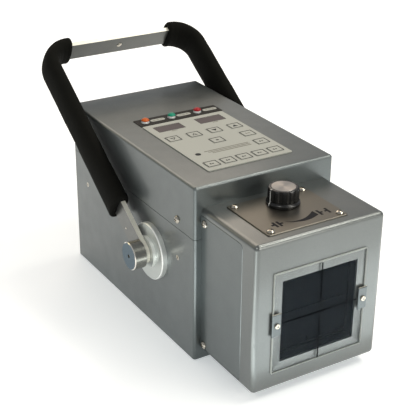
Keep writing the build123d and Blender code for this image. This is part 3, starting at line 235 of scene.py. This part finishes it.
def plastic(name, color, rough=0.4, grain=700, depth=0.1, vary=0.06, **inputs):
    """Plastic, film or ink: a fine grain and slow changes in tone."""
    m = Material(name, color, rough, 0.0, **inputs)
    slow = m.noise(14, 2)
    m.link(m.mix(slow, shade(color, 1 - vary), shade(color, 1 + vary)), "Base Color")
    m.bump(m.noise(grain, 2), depth, 0.00005)
    return m


nickel = brushed("nickel_screw", (0.47, 0.44, 0.38), 0.16, (500, 500, 500), depth=0.05)
boss_metal = turned("boss_aluminium", (0.88, 0.90, 0.86), 0.32, PIVOT, (0, 1, 1), "X", 0.65)
cap_metal = turned("cap_nickel", (0.86, 0.82, 0.74), 0.15, PIVOT, (0, 1, 1), "X", 1.0)


def paint_light_and_shade_on_faces(m, color, way=(1, 0, 0), threshold=0.8, metal=None, end=None):
    """Paint a highlight or a shade on the faces that look along a direction, or against it, as a
    colour of their own.

    With end, a centre and a reach, the rim round that end of a flat bar takes the colour too.
    """
    local = m.add(
        "ShaderNodeVectorTransform", {0: m.true_normal()}, convert_from="WORLD", convert_to="OBJECT",
    )
    local.vector_type = "NORMAL"
    facing = m.add("ShaderNodeVectorMath", {0: local.outputs[0], 1: way}, operation="DOT_PRODUCT")
    chosen = m.math("GREATER_THAN", m.math("ABSOLUTE", facing.outputs["Value"]), threshold)
    if end:
        centre, reach = end
        painted_rim = m.math("LESS_THAN", m.along(local.outputs[0], 0), 0.5)
        near = m.math("LESS_THAN", m.reach(centre, (0, 1, 1)), reach)
        chosen = m.math("MAXIMUM", chosen, m.math("MULTIPLY", near, painted_rim))
    old = m.shader.inputs["Base Color"].links[0].from_socket
    m.link(m.mix(chosen, old, color), "Base Color")
    if metal is not None:
        before = m.shader.inputs["Metallic"].default_value
        m.link(m.ramp(chosen, 0, 1, before, metal), "Metallic")


# Painted shade darkens the flat faces of the caps and the bosses.
paint_light_and_shade_on_faces(cap_metal, (0.055, 0.095, 0.125), metal=0.75)
paint_light_and_shade_on_faces(boss_metal, (0.50, 0.53, 0.51))
# A painted highlight lightens the handle bar's narrow edges and the rim round its end at the pivot.
paint_light_and_shade_on_faces(bar_paint, (0.78, 0.76, 0.66), ACROSS, 0.97, 0.25, (PIVOT, 0.03))
clip_metal = metallic_paint("clip_metal", (0.085, 0.096, 0.098), 0.3, 0.85)
# A painted highlight lightens the tops of the window clips.
paint_light_and_shade_on_faces(clip_metal, (0.62, 0.57, 0.46), (0, 0, 1), 0.8, 0.3)
knob_metal = turned("cap_aluminium", (0.33, 0.315, 0.30), 0.32, KNOB, (1, 1, 0), "Z")
plate_metal = brushed("plate_aluminium", (0.165, 0.155, 0.133), 0.36, (40, 2600, 40), contrast=0.08)
overlay_film = plastic("overlay_film", (0.338, 0.345, 0.308), 0.5, 1500, 0.08, 0.03)
black_film = plastic("strip_black", (0.012, 0.011, 0.010), 0.5, 900, 0.04, Specular_IOR_Level=0.12)
ink_dark = plastic("ink_dark", (0.022, 0.023, 0.024), 0.6, 1200, 0.04, Specular_IOR_Level=0.15)
ink_black = plastic("ink_black", (0.001, 0.001, 0.001), 0.6, 1200, 0.04, Specular_IOR_Level=0.0)
ink_scale = plastic("ink_scale", (0.011, 0.011, 0.013), 0.6, 1200, 0.04, Specular_IOR_Level=0.12)
ink_grey = plastic("ink_grey", (0.20, 0.195, 0.165), 0.6, 1200, 0.04, Specular_IOR_Level=0.15)
ink_white = plastic("ink_white", (0.75, 0.75, 0.72), 0.4, 1200, 0.04)
display_tint = plastic("display_tint", (0.078, 0.063, 0.066), 0.4, 900, 0.03, Specular_IOR_Level=0.15)
knob_black = plastic("knob_black", (0.004, 0.004, 0.004), 0.26, 900, 0.08, Specular_IOR_Level=0.5)
connector_black = plastic("connector_black", (0.014, 0.014, 0.014), 0.45, 600, 0.2)
inner_black = plastic("inner_black", (0.0012, 0.0018, 0.0026), 0.8, 500, 0.02, Specular_IOR_Level=0.0)
chrome = brushed("chrome_bezel", (0.82, 0.83, 0.81), 0.22, (300, 300, 300), 0.5, depth=0.03)


def lens(name, color):
    """Moulded lamp lens, with painted shade darkening it where its surface turns away from the
    camera.
    """
    m = Material(name, color, 0.34, 0.0, Specular_IOR_Level=0.3)
    painted_rim = m.add("ShaderNodeLayerWeight", {"Blend": 0.35}).outputs["Facing"]
    m.link(m.mix(painted_rim, color, shade(color, 0.55)), "Base Color")
    m.bump(m.noise(350, 1), 0.05, 0.0001)
    return m


lens_orange = lens("lens_orange", (0.52, 0.095, 0.008))
lens_green = lens("lens_green", (0.008, 0.24, 0.145))
lens_red = lens("lens_red", (0.33, 0.006, 0.012))

# Acrylic: the colour of sawn edges, the share of light scattered inside, and the gloss.
FROST = (0.50, 0.52, 0.49)
HAZE = 0.006
PLATE_IOR = 1.045


def clear_plate():
    """Clear acrylic: what is behind shows through, and the sawn edges are frosted."""
    m = Material("window_acrylic", FROST, 0.35)
    lit_through = m.add("ShaderNodeBsdfTranslucent", {"Color": (*FROST, 1)})
    frost = m.add("ShaderNodeMixShader", {
        0: 0.5, 1: m.shader.outputs[0], 2: lit_through.outputs[0],
    })
    see = m.add("ShaderNodeBsdfTransparent", {"Color": (1, 1, 1, 1)})
    gloss = m.add("ShaderNodeBsdfGlossy", {"Color": (1, 1, 1, 1), "Roughness": 0.03})
    haze = m.add("ShaderNodeBsdfDiffuse", {"Color": (0.70, 0.86, 1.0, 1)})
    body = m.add("ShaderNodeMixShader", {0: HAZE, 1: see.outputs[0], 2: haze.outputs[0]})
    amount = m.add("ShaderNodeFresnel", {"IOR": PLATE_IOR}).outputs[0]
    face = m.add("ShaderNodeMixShader", {0: amount, 1: body.outputs[0], 2: gloss.outputs[0]})
    edge = m.math("LESS_THAN", m.along(m.true_normal(), 1), 0.8)
    both = m.add("ShaderNodeMixShader", {0: edge, 1: face.outputs[0], 2: frost.outputs[0]})
    m.tree.links.new(both.outputs[0], m.out.inputs[0])
    return m


window_acrylic = clear_plate()

board = plastic("board_green", (0.02, 0.09, 0.045), 0.35, 300, 0.2, 0.2)
primer = plastic("tank_primer", (0.28, 0.28, 0.28), 0.6, 300, 0.3)
core = brushed("core_iron", (0.12, 0.12, 0.13), 0.5, (30, 30, 3000))
steel = brushed("bright_steel", (0.5, 0.5, 0.5), 0.3, (400, 400, 400))
copper = brushed("copper", (0.6, 0.3, 0.18), 0.3, (400, 400, 400))
glass = Material("tube_glass", (0.9, 0.95, 0.95), 0.05, 0.0, Transmission_Weight=1.0, IOR=1.47)
mirror = Material("mirror_glass", (0.9, 0.9, 0.9), 0.03, 1.0)
lamp_glass = plastic("lamp_glass", (0.9, 0.85, 0.7), 0.2)

NODE_MATERIALS = {
    "lower_tray": body_paint, "upper_cover": body_paint, "collimator_cover": coll_paint,
    "collimator_side_panel": body_paint, "handle_bar": bar_paint, "window_clips": clip_metal,
    "pan_head_screws": nickel, "countersunk_screws": nickel, "clip_screws": nickel,
    "keypad_overlay": overlay_film, "indicator_strip": black_film,
    "display_windows": display_tint, "led_bezels": chrome, "led_lens_orange": lens_orange,
    "led_lens_green": lens_green, "led_lens_red": lens_red, "key_switches": connector_black,
    "control_board": board, "inverter_board": board, "tube_tank": primer, "tank_lid": primer,
    "tube_envelope": glass, "tube_anode": copper, "tube_cathode": steel,
    "hv_transformer": core, "mains_inlet": connector_black, "power_switch": connector_black,
    "power_rocker": connector_black, "hand_switch_socket": nickel,
    "pivot_boss_left": boss_metal, "pivot_boss_right": boss_metal, "pivot_caps": cap_metal,
    "pivot_bolts": steel, "collimator_base": inner_black, "window_plate": window_acrylic,
    "knob_plate": plate_metal, "knob_body": knob_black, "knob_cap": knob_metal,
    "knob_shaft": steel, "shutter_left": inner_black, "shutter_right": inner_black,
    "shutter_top": inner_black, "shutter_bottom": inner_black, "shutter_frame": inner_black,
    "mirror": mirror, "lamp": lamp_glass,
}
for name, obj in nodes.items():
    material = NODE_MATERIALS.get(name, overlay_film).data
    if not obj.material_slots:
        obj.data.materials.append(material)
    for holder in obj.material_slots:
        holder.material = material


# ------------------------------------------------------------------ mesh helpers
def piece(name, bm, material, body, smooth=False):
    """Turn a bmesh into an object that rides on a body."""
    bmesh.ops.remove_doubles(bm, verts=bm.verts, dist=1e-7)
    bmesh.ops.recalc_face_normals(bm, faces=bm.faces)
    data = bpy.data.meshes.new(name)
    bm.to_mesh(data)
    bm.free()
    data.materials.append(material.data)
    if smooth:
        data.polygons.foreach_set("use_smooth", [True] * len(data.polygons))
    obj = bpy.data.objects.new(name, data)
    bpy.context.scene.collection.objects.link(obj)
    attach(obj, body)
    return obj


class Sheet:
    """Flat printed shapes on a plane, each a very thin solid. Sizes are in millimetres."""

    def __init__(self, origin, x_axis, y_axis, lift=0.01, thick=0.08):
        self.origin = Vector(origin)
        self.x = Vector(x_axis)
        self.y = Vector(y_axis)
        self.n = self.x.cross(self.y)
        self.lift = lift
        self.thick = thick
        self.bm = bmesh.new()

    def point(self, p, h):
        return (self.origin + self.x * p[0] + self.y * p[1] + self.n * (self.lift + h)) * MM

    def area(self, outline):
        low = [self.bm.verts.new(self.point(p, 0)) for p in outline]
        high = [self.bm.verts.new(self.point(p, self.thick)) for p in outline]
        self.bm.faces.new(high)
        self.bm.faces.new(list(reversed(low)))
        count = len(outline)
        for i in range(count):
            j = (i + 1) % count
            self.bm.faces.new((low[i], low[j], high[j], high[i]))

    def ring(self, outer, inner):
        rows = []
        for outline in (outer, inner):
            for h in (0, self.thick):
                rows.append([self.bm.verts.new(self.point(p, h)) for p in outline])
        outer_low, outer_high, inner_low, inner_high = rows
        count = len(outer)
        for i in range(count):
            j = (i + 1) % count
            self.bm.faces.new((outer_high[i], outer_high[j], inner_high[j], inner_high[i]))
            self.bm.faces.new((outer_low[j], outer_low[i], inner_low[i], inner_low[j]))
            self.bm.faces.new((outer_low[i], outer_low[j], outer_high[j], outer_high[i]))
            self.bm.faces.new((inner_low[j], inner_low[i], inner_high[i], inner_high[j]))


def top_sheet(height, lift=0.01):
    """A sheet on a surface that faces up."""
    return Sheet((0, 0, height), (1, 0, 0), (0, 1, 0), lift)


def front_sheet(depth, lift, thick):
    """A sheet on a surface that faces the front."""
    return Sheet((0, depth, 0), (1, 0, 0), (0, 0, 1), lift, thick)


def rounded(cx, cy, w, h, r, steps=6):
    """Outline of a rounded rectangle."""
    points = []
    for k, (sx, sy) in enumerate(((1, 1), (-1, 1), (-1, -1), (1, -1))):
        for i in range(steps + 1):
            a = math.radians(90 * k + 90 * i / steps)
            points.append((
                cx + sx * (w / 2 - r) + r * math.cos(a),
                cy + sy * (h / 2 - r) + r * math.sin(a),
            ))
    return points


def box_of(name):
    low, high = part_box(name)
    return low / MM, high / MM


# ------------------------------------------------------------------ floor and light
def make_floor():
    bm = bmesh.new()
    bmesh.ops.create_grid(bm, x_segments=8, y_segments=8, size=6)
    data = bpy.data.meshes.new("floor")
    bm.to_mesh(data)
    bm.free()
    floor = bpy.data.objects.new("floor", data)
    floor.location = (0, 0, -0.0002)
    bpy.context.scene.collection.objects.link(floor)
    m = Material("floor_paper", (0.9, 0.9, 0.9), 0.9, Emission_Color=(0.90, 0.97, 1.0, 1))
    m.set("Emission Strength", 0.34)
    data.materials.append(m.data)


make_floor()


def area_light(name, at, target, size, power, color):
    data = bpy.data.lights.new(name, "AREA")
    data.shape = "RECTANGLE"
    data.size = size[0]
    data.size_y = size[1]
    data.energy = power
    data.color = color
    light = bpy.data.objects.new(name, data)
    light.location = at
    aim = Vector(target) - Vector(at)
    light.rotation_euler = aim.to_track_quat("-Z", "Y").to_euler()
    bpy.context.scene.collection.objects.link(light)
    return light


world = bpy.data.worlds.new("studio")
bpy.context.scene.world = world
world.use_nodes = True
background = world.node_tree.nodes["Background"]
background.inputs["Color"].default_value = (0.95, 0.97, 1.0, 1)
background.inputs["Strength"].default_value = 0.42

# Name, place, aim, size in metres, power in watts, colour.
TARGET = (0, -0.1, 0.1)
LIGHTS = (
    ("key", (-1.45, -0.9, 1.65), TARGET, (0.55, 0.55), 8, (1.0, 0.98, 0.90)),
    ("painted_rim", (0.95, -0.95, 1.75), TARGET, (1.0, 0.45), 13, (1.0, 0.97, 0.88)),
    ("front", (0.6, -2.1, 0.9), TARGET, (1.2, 0.8), 18, (1.0, 0.96, 0.88)),
    ("top", (0.3, 1.5, 1.6), (0, 0, 0.1), (1.8, 1.2), 15, (1.0, 0.84, 0.68)),
    ("side", (-1.0, 1.45, 0.9), TARGET, (0.6, 0.6), 1.2, (1.0, 0.86, 0.45)),
    ("bar", (0.95, 0.05, 1.95), (0, 0.17, 0.23), (0.5, 0.5), 8, (1.0, 0.96, 0.86)),
)
for light_values in LIGHTS:
    area_light(*light_values)


def floor_glow(name, x, y, turn, size, power, color):
    """Light that the floor throws up, from a sheet just above it that the camera doesn't see."""
    light = area_light(name, (x, y, 0.004), (x, y, 1), size, power, color)
    light.rotation_euler = (math.pi, 0, turn)
    light.visible_camera = False


floor_glow("bounce", -0.25, -0.30, math.radians(32), (0.30, 0.14), 0.42, (0.94, 1.0, 0.99))
floor_glow("glow", 0.05, -0.33, 0, (0.5, 0.14), 0.36, (0.90, 0.98, 1.0))

# ------------------------------------------------------------------ legends on the keys
KEY_SYMBOLS = {
    "key_down_left": "open_down", "key_up_left": "open_up", "key_down_right": "down",
    "key_up_right": "up", "key_centre": "dot", "key_right_upper": "bracket",
    "key_right_lower": "bar",
}


def key_symbol(s, kind, x, y, soft):
    if kind in ("down", "up", "open_down", "open_up"):
        way = 1 if kind.endswith("up") else -1
        outer = [(x - 3.2, y - 2.2 * way), (x + 3.2, y - 2.2 * way), (x, y + 2.6 * way)]
        if kind.startswith("open"):
            inner = [(x - 1.75, y - 1.35 * way), (x + 1.75, y - 1.35 * way), (x, y + 1.25 * way)]
            s.ring(outer, inner)
        else:
            s.area(outer)
    elif kind == "bracket":
        soft.area(rounded(x - 2.0, y, 0.9, 3.4, 0.2, 2))
        soft.area(rounded(x + 2.0, y, 0.9, 3.4, 0.2, 2))
        soft.area(rounded(x, y, 1.6, 1.6, 0.5, 3))
    elif kind == "dot":
        s.area(rounded(x, y, 3.2, 2.4, 1.1, 5))
    else:
        s.area(rounded(x - 1.5, y, 1.6, 2.4, 0.3, 3))
        s.area(rounded(x + 1.1, y, 2.0, 1.5, 0.4, 3))


KEY_MARGIN = 0.35
KEY_LINE = 1.05
for name in sorted(nodes):
    if not name.startswith("key_") or name == "key_switches":
        continue
    low, high = box_of(name)
    cx = (low.x + high.x) / 2
    cy = (low.y + high.y) / 2
    body = "cap_" + name
    legend = top_sheet(high.z)
    w = high.x - low.x - 2 * KEY_MARGIN
    h = high.y - low.y - 2 * KEY_MARGIN
    inner = rounded(cx, cy, w - 2 * KEY_LINE, h - 2 * KEY_LINE, 0.4)
    legend.ring(rounded(cx, cy, w, h, 1.1), inner)
    symbol = top_sheet(high.z)
    pale = top_sheet(high.z)
    key_symbol(symbol, KEY_SYMBOLS.get(name, "bar"), cx, cy, pale)
    piece("frame_" + name, legend.bm, ink_dark, body)
    if symbol.bm.verts:
        piece("symbol_" + name, symbol.bm, ink_dark, body)
    if pale.bm.verts:
        piece("symbol_" + name, pale.bm, ink_grey, body)

# ------------------------------------------------------------------ prints on the overlay, and painted shade round its displays
low, high = box_of("keypad_overlay")
prints_and_shade = top_sheet(high.z)
soft = top_sheet(high.z)
# A plain dot and a block of plain bars stand for the printed notes.
MARK_X = -36.5
NOTES_Y = (-64.0, -66.5)
NOTE_PITCH = 3.1
DISPLAY_X = (-25, 25)
DISPLAY_Y = 11.3
CAPTION_Y = 1.5
prints_and_shade.area(rounded(MARK_X, NOTES_Y[1], 6.0, 6.0, 2.9))
for row in range(3):
    soft.area(rounded(-2.0 + 1.5 * row, NOTES_Y[0] - NOTE_PITCH * row, 52 - 3 * row, 1.5, 0.5))
# A thin dark ring round each display window is painted shade where the window meets the overlay.
for x in DISPLAY_X:
    soft.area(rounded(x + 1, CAPTION_Y, 7.0, 1.3, 0.4))
    prints_and_shade.ring(rounded(x, DISPLAY_Y, 31.5, 15.5, 0.4), rounded(x, DISPLAY_Y, 30.7, 14.7, 0.1))
piece("overlay_prints_and_shade", prints_and_shade.bm, ink_dark, "housing")
piece("overlay_notes", soft.bm, ink_grey, "housing")

low, high = box_of("indicator_strip")
pills = top_sheet(high.z)
marks = top_sheet(high.z, 0.10)
PILL_X = (-23.8, 8.2, 41.0)
PILL_Y = 38.4
MARK_PITCH = 4.2
for x in PILL_X:
    pills.area(rounded(x, PILL_Y, 17.0, 6.0, 2.9))
    for step in (-MARK_PITCH, 0, MARK_PITCH):
        marks.area(rounded(x + step, PILL_Y, 3.2, 1.8, 0.5))
piece("strip_pills", pills.bm, overlay_film, "housing")
piece("strip_marks", marks.bm, ink_grey, "housing")

# ------------------------------------------------------------------ scale of the shutter knob
low, high = box_of("knob_plate")
scale = top_sheet(high.z)
WEDGE_START = (-22.3, -197.6)
WEDGE_LENGTH = 33.5
WEDGE_SAG = 7.0
WEDGE_STEPS = 16
lower_edge = []
upper_edge = []
for i in range(WEDGE_STEPS + 1):
    t = i / WEDGE_STEPS
    ax = WEDGE_START[0] + WEDGE_LENGTH * t
    ay = WEDGE_START[1] - WEDGE_SAG * math.sin(math.pi * min(1, t * 0.86) ** 0.9) + 0.2 * t
    thick = 0.5 + 8.2 * t ** 1.15
    upper_edge.append((ax + 0.5 * t, ay + thick))
    lower_edge.append((ax + 1.5 * t, ay))
scale.area(lower_edge + upper_edge[::-1])


def leaf_mark(x, y, bar_at, tick_at, tick_long):
    """Two bars with a tick each: the pair of leaves, nearer together or further apart."""
    for side in (-1, 1):
        scale.area(rounded(x + side * bar_at, y, 2.5, 10.4, 0.2, 2))
        scale.area(rounded(x + side * tick_at, y, tick_long, 2.4, 0.2, 2))


leaf_mark(-32.0, -197.9, 2.1, 4.7, 3.4)
leaf_mark(20.4, -197.3, 4.7, 2.4, 2.6)
piece("knob_scale", scale.bm, ink_scale, "housing")

# ------------------------------------------------------------------ pointer on the knob
low, high = box_of("knob_body")
kx = (low.x + high.x) / 2
ky = (low.y + high.y) / 2


POINTER_HALF = 0.5
POINTER_SINK = 0.15


def pointer():
    """White line from the knob's top down its side: distance from its axis, and height."""
    bm = bmesh.new()
    route = [
        (11.9, high.z + 0.03), (13.2, high.z + 0.03), (14.4, high.z - 0.35),
        (15.02, high.z - 1.6), (15.03, low.z + 5.0), (15.5, low.z + 3.2), (16.32, low.z + 2.2),
        (16.33, low.z + 0.3),
    ]
    rows = []
    for reach, z in route:
        row = []
        for side in (-POINTER_HALF, POINTER_HALF):
            for sink in (0.0, POINTER_SINK):
                row.append(bm.verts.new(Vector((kx - reach + sink, ky + side, z)) * MM))
        rows.append(row)
    for a, b in zip(rows, rows[1:]):
        bm.faces.new((a[0], a[2], b[2], b[0]))
        bm.faces.new((a[1], b[1], b[3], a[3]))
        bm.faces.new((a[0], b[0], b[1], a[1]))
        bm.faces.new((a[2], a[3], b[3], b[2]))
    for row in (rows[0], rows[-1]):
        bm.faces.new((row[0], row[1], row[3], row[2]))
    piece("knob_pointer", bm, ink_white, "knob")


pointer()

# ------------------------------------------------------------------ aiming cross on the window
low, high = box_of("window_plate")
front = low.y
wx = (low.x + high.x) / 2
wz = (low.z + high.z) / 2
cross = front_sheet(front, -0.33, 0.36)
# Ink fills the plate's grooves, and a printed line covers each groove.
CROSS_WIDE = 0.96
CROSS_GAP = 0.04
CROSS_REACH = 42.62
arm_start = CROSS_WIDE / 2 + CROSS_GAP
cross.area(rounded(wx, wz, CROSS_WIDE, high.z - low.z - 2.94, 0.02, 2))
for side in (-1, 1):
    middle = side * (arm_start + CROSS_REACH) / 2
    cross.area(rounded(wx + middle, wz, CROSS_REACH - arm_start, CROSS_WIDE, 0.02, 2))
line = front_sheet(front, 0.01, 0.05)
line.area(rounded(wx, wz, 1.5, high.z - low.z - 4.0, 0.02, 2))
line.area(rounded(wx, wz, 84.0, 1.2, 0.02, 2))
piece("aiming_lines", line.bm, ink_black, "housing")
piece("aiming_cross", cross.bm, ink_black, "housing")


# ------------------------------------------------------------------ pins in the handle
def dome_pin(bm, at, out, radius, rise, depth):
    """A round pin: a shank that goes down into its hole and a low dome above."""
    side_a = out.orthogonal().normalized()
    side_b = out.cross(side_a)
    around = 28
    route = [(radius, -depth)]
    for i in range(7):
        a = math.pi / 2 * i / 7
        route.append((radius * math.cos(a), rise * math.sin(a)))
    rows = []
    for r, h in route:
        row = []
        for k in range(around):
            a = 2 * math.pi * k / around
            spot = at + out * h + side_a * (r * math.cos(a)) + side_b * (r * math.sin(a))
            row.append(bm.verts.new(spot * MM))
        rows.append(row)
    for low_row, high_row in zip(rows, rows[1:]):
        for k in range(around):
            j = (k + 1) % around
            bm.faces.new((low_row[k], low_row[j], high_row[j], high_row[k]))
    bm.faces.new(list(reversed(rows[0])))
    tip = bm.verts.new((at + out * rise) * MM)
    for k in range(around):
        bm.faces.new((rows[-1][k], rows[-1][(k + 1) % around], tip))


ARM_FACE = 94.0
PIN_ALONG = 34.0
PIN_ACROSS = 4.7
SCREW_ALONG = 265.0
pins = bmesh.new()
for side in (-1, 1):
    foot = Vector((side * ARM_FACE, 0, 0)) + PIVOT_MM + ALONG * PIN_ALONG - ACROSS * PIN_ACROSS
    dome_pin(pins, foot, Vector((side, 0, 0)), 1.22, 0.35, 3.0)
dome_pin(pins, PIVOT_MM + ALONG * SCREW_ALONG, -ALONG, 3.1, 0.5, 0.3)
piece("handle_pins", pins, nickel, "handle", smooth=True)


# ------------------------------------------------------------------ foam grips
def foam_material():
    m = Material("foam", (0.006, 0.006, 0.005), 0.9, 0.0, Specular_IOR_Level=0.12)
    pores = m.cells(1400).outputs["Distance"]
    lumps = m.noise(160, 4)
    m.link(m.mix(lumps, (0.0025, 0.0025, 0.0018), (0.005, 0.005, 0.0035)), "Base Color")
    both = m.math("ADD", m.math("MULTIPLY", pores, 0.6), lumps)
    m.bump(both, 0.5, 0.0004)
    return m


foam = foam_material()


# The sleeve's route, in millimetres: up the arm, round the bend and along the cross bar.
GRIP_ARM = 92.6
GRIP_TOP = 268.6
GRIP_BEND = 26.0
GRIP_START = 57.0
GRIP_END_X = 62.5
GRIP_STRAIGHT = GRIP_TOP - GRIP_BEND - GRIP_START
GRIP_ARC = GRIP_BEND * math.pi / 2
GRIP_LENGTH = GRIP_STRAIGHT + GRIP_ARC + GRIP_ARM - GRIP_BEND - GRIP_END_X
GRIP_LIP = 2.6
GRIP_HALF = (9.5, 18.5)
GRIP_AROUND = 72
GRIP_SQUARE = 0.89
GRIP_FLARE = 60
BAR_HALF = (2.53, 11.53)
ALONG_STEPS = 190
LIP_STEPS = 6


def grip_station(d):
    """Centre of the sleeve and the direction of its outer side, at a length along its route."""
    if d <= GRIP_STRAIGHT:
        return (GRIP_ARM, GRIP_START + d), (1.0, 0.0)
    corner_x = GRIP_ARM - GRIP_BEND
    if d <= GRIP_STRAIGHT + GRIP_ARC:
        a = (d - GRIP_STRAIGHT) / GRIP_BEND
        way = (math.cos(a), math.sin(a))
        return (corner_x + GRIP_BEND * way[0], GRIP_TOP - GRIP_BEND + GRIP_BEND * way[1]), way
    return (corner_x - (d - GRIP_STRAIGHT - GRIP_ARC), GRIP_TOP), (0.0, 1.0)


def grip_wrinkle(d, angle):
    """Small folds that the foam has on the inside of the bend."""
    reach = d - GRIP_STRAIGHT + 8
    if not 0 < reach < GRIP_ARC + 16:
        return 0.0
    phase = (d - GRIP_STRAIGHT) / GRIP_ARC
    fold = max(0.0, math.sin(phase * math.pi * 9 + 0.6 * math.sin(angle * 2)))
    return -0.3 * max(0.0, -math.cos(angle)) * fold * math.sin(math.pi * reach / (GRIP_ARC + 16))


def grip_row(bm, side, d, inset, seed):
    """One ring of the sleeve's skin, or of the room for the bar where inset is None."""
    (px, ps), (nx, ns) = grip_station(d)
    low_end = max(0.0, 1 - d / GRIP_FLARE)
    row = []
    for k in range(GRIP_AROUND):
        a = 2 * math.pi * k / GRIP_AROUND
        ca, sa = math.cos(a), math.sin(a)
        if inset is None:
            m = max(abs(ca) / BAR_HALF[0], abs(sa) / BAR_HALF[1])
            ea, eb, push = ca / m, sa / m, 0.0
        else:
            ea = (GRIP_HALF[0] + 0.35 * low_end - inset) * math.copysign(abs(ca) ** GRIP_SQUARE, ca)
            eb = (GRIP_HALF[1] + 0.9 * low_end - inset) * math.copysign(abs(sa) ** GRIP_SQUARE, sa)
        at = Vector((side * (px + nx * ea), 0, 0)) + PIVOT_MM + ALONG * (ps + ns * ea) + ACROSS * eb
        if inset is not None:
            lump = noise.noise(at * 0.035 + seed) * 0.35 + noise.noise(at * 0.11 + seed) * 0.16
            push = min(0.0, lump - 0.1) if ca < -0.5 else lump
            way = Vector((side * nx * ca, 0, 0)) + ALONG * (ns * ca) + ACROSS * sa
            at += way * (push + grip_wrinkle(d, a))
        row.append(bm.verts.new(at * MM))
    return row


def grip(name, side, node):
    """Foam sleeve: an oval tube with rounded ends that follows the bar round its bend."""
    ends = []
    for i in range(LIP_STEPS, -1, -1):
        a = math.pi / 2 * i / LIP_STEPS
        ends.append((GRIP_LIP * (1 - math.sin(a)), GRIP_LIP * (1 - math.cos(a))))
    stations = list(ends)
    span = GRIP_LENGTH - 2 * GRIP_LIP
    stations += [(GRIP_LIP + span * i / ALONG_STEPS, 0.0) for i in range(1, ALONG_STEPS)]
    stations += [(GRIP_LENGTH - d, inset) for d, inset in reversed(ends)]
    stations += [(GRIP_LENGTH * (1 - i / ALONG_STEPS), None) for i in range(ALONG_STEPS + 1)]
    seed = Vector((3.1, 7.7, 1.3)) * (1 if side > 0 else 2)
    bm = bmesh.new()
    rows = [grip_row(bm, side, d, inset, seed) for d, inset in stations]
    for i, row in enumerate(rows):
        after = rows[(i + 1) % len(rows)]
        for k in range(GRIP_AROUND):
            j = (k + 1) % GRIP_AROUND
            bm.faces.new((row[k], row[j], after[j], after[k]))
    obj = piece(name, bm, foam, "handle", smooth=True)
    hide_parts(node)


grip("grip_foam_left", -1, "foam_grip_left")
grip("grip_foam_right", 1, "foam_grip_right")
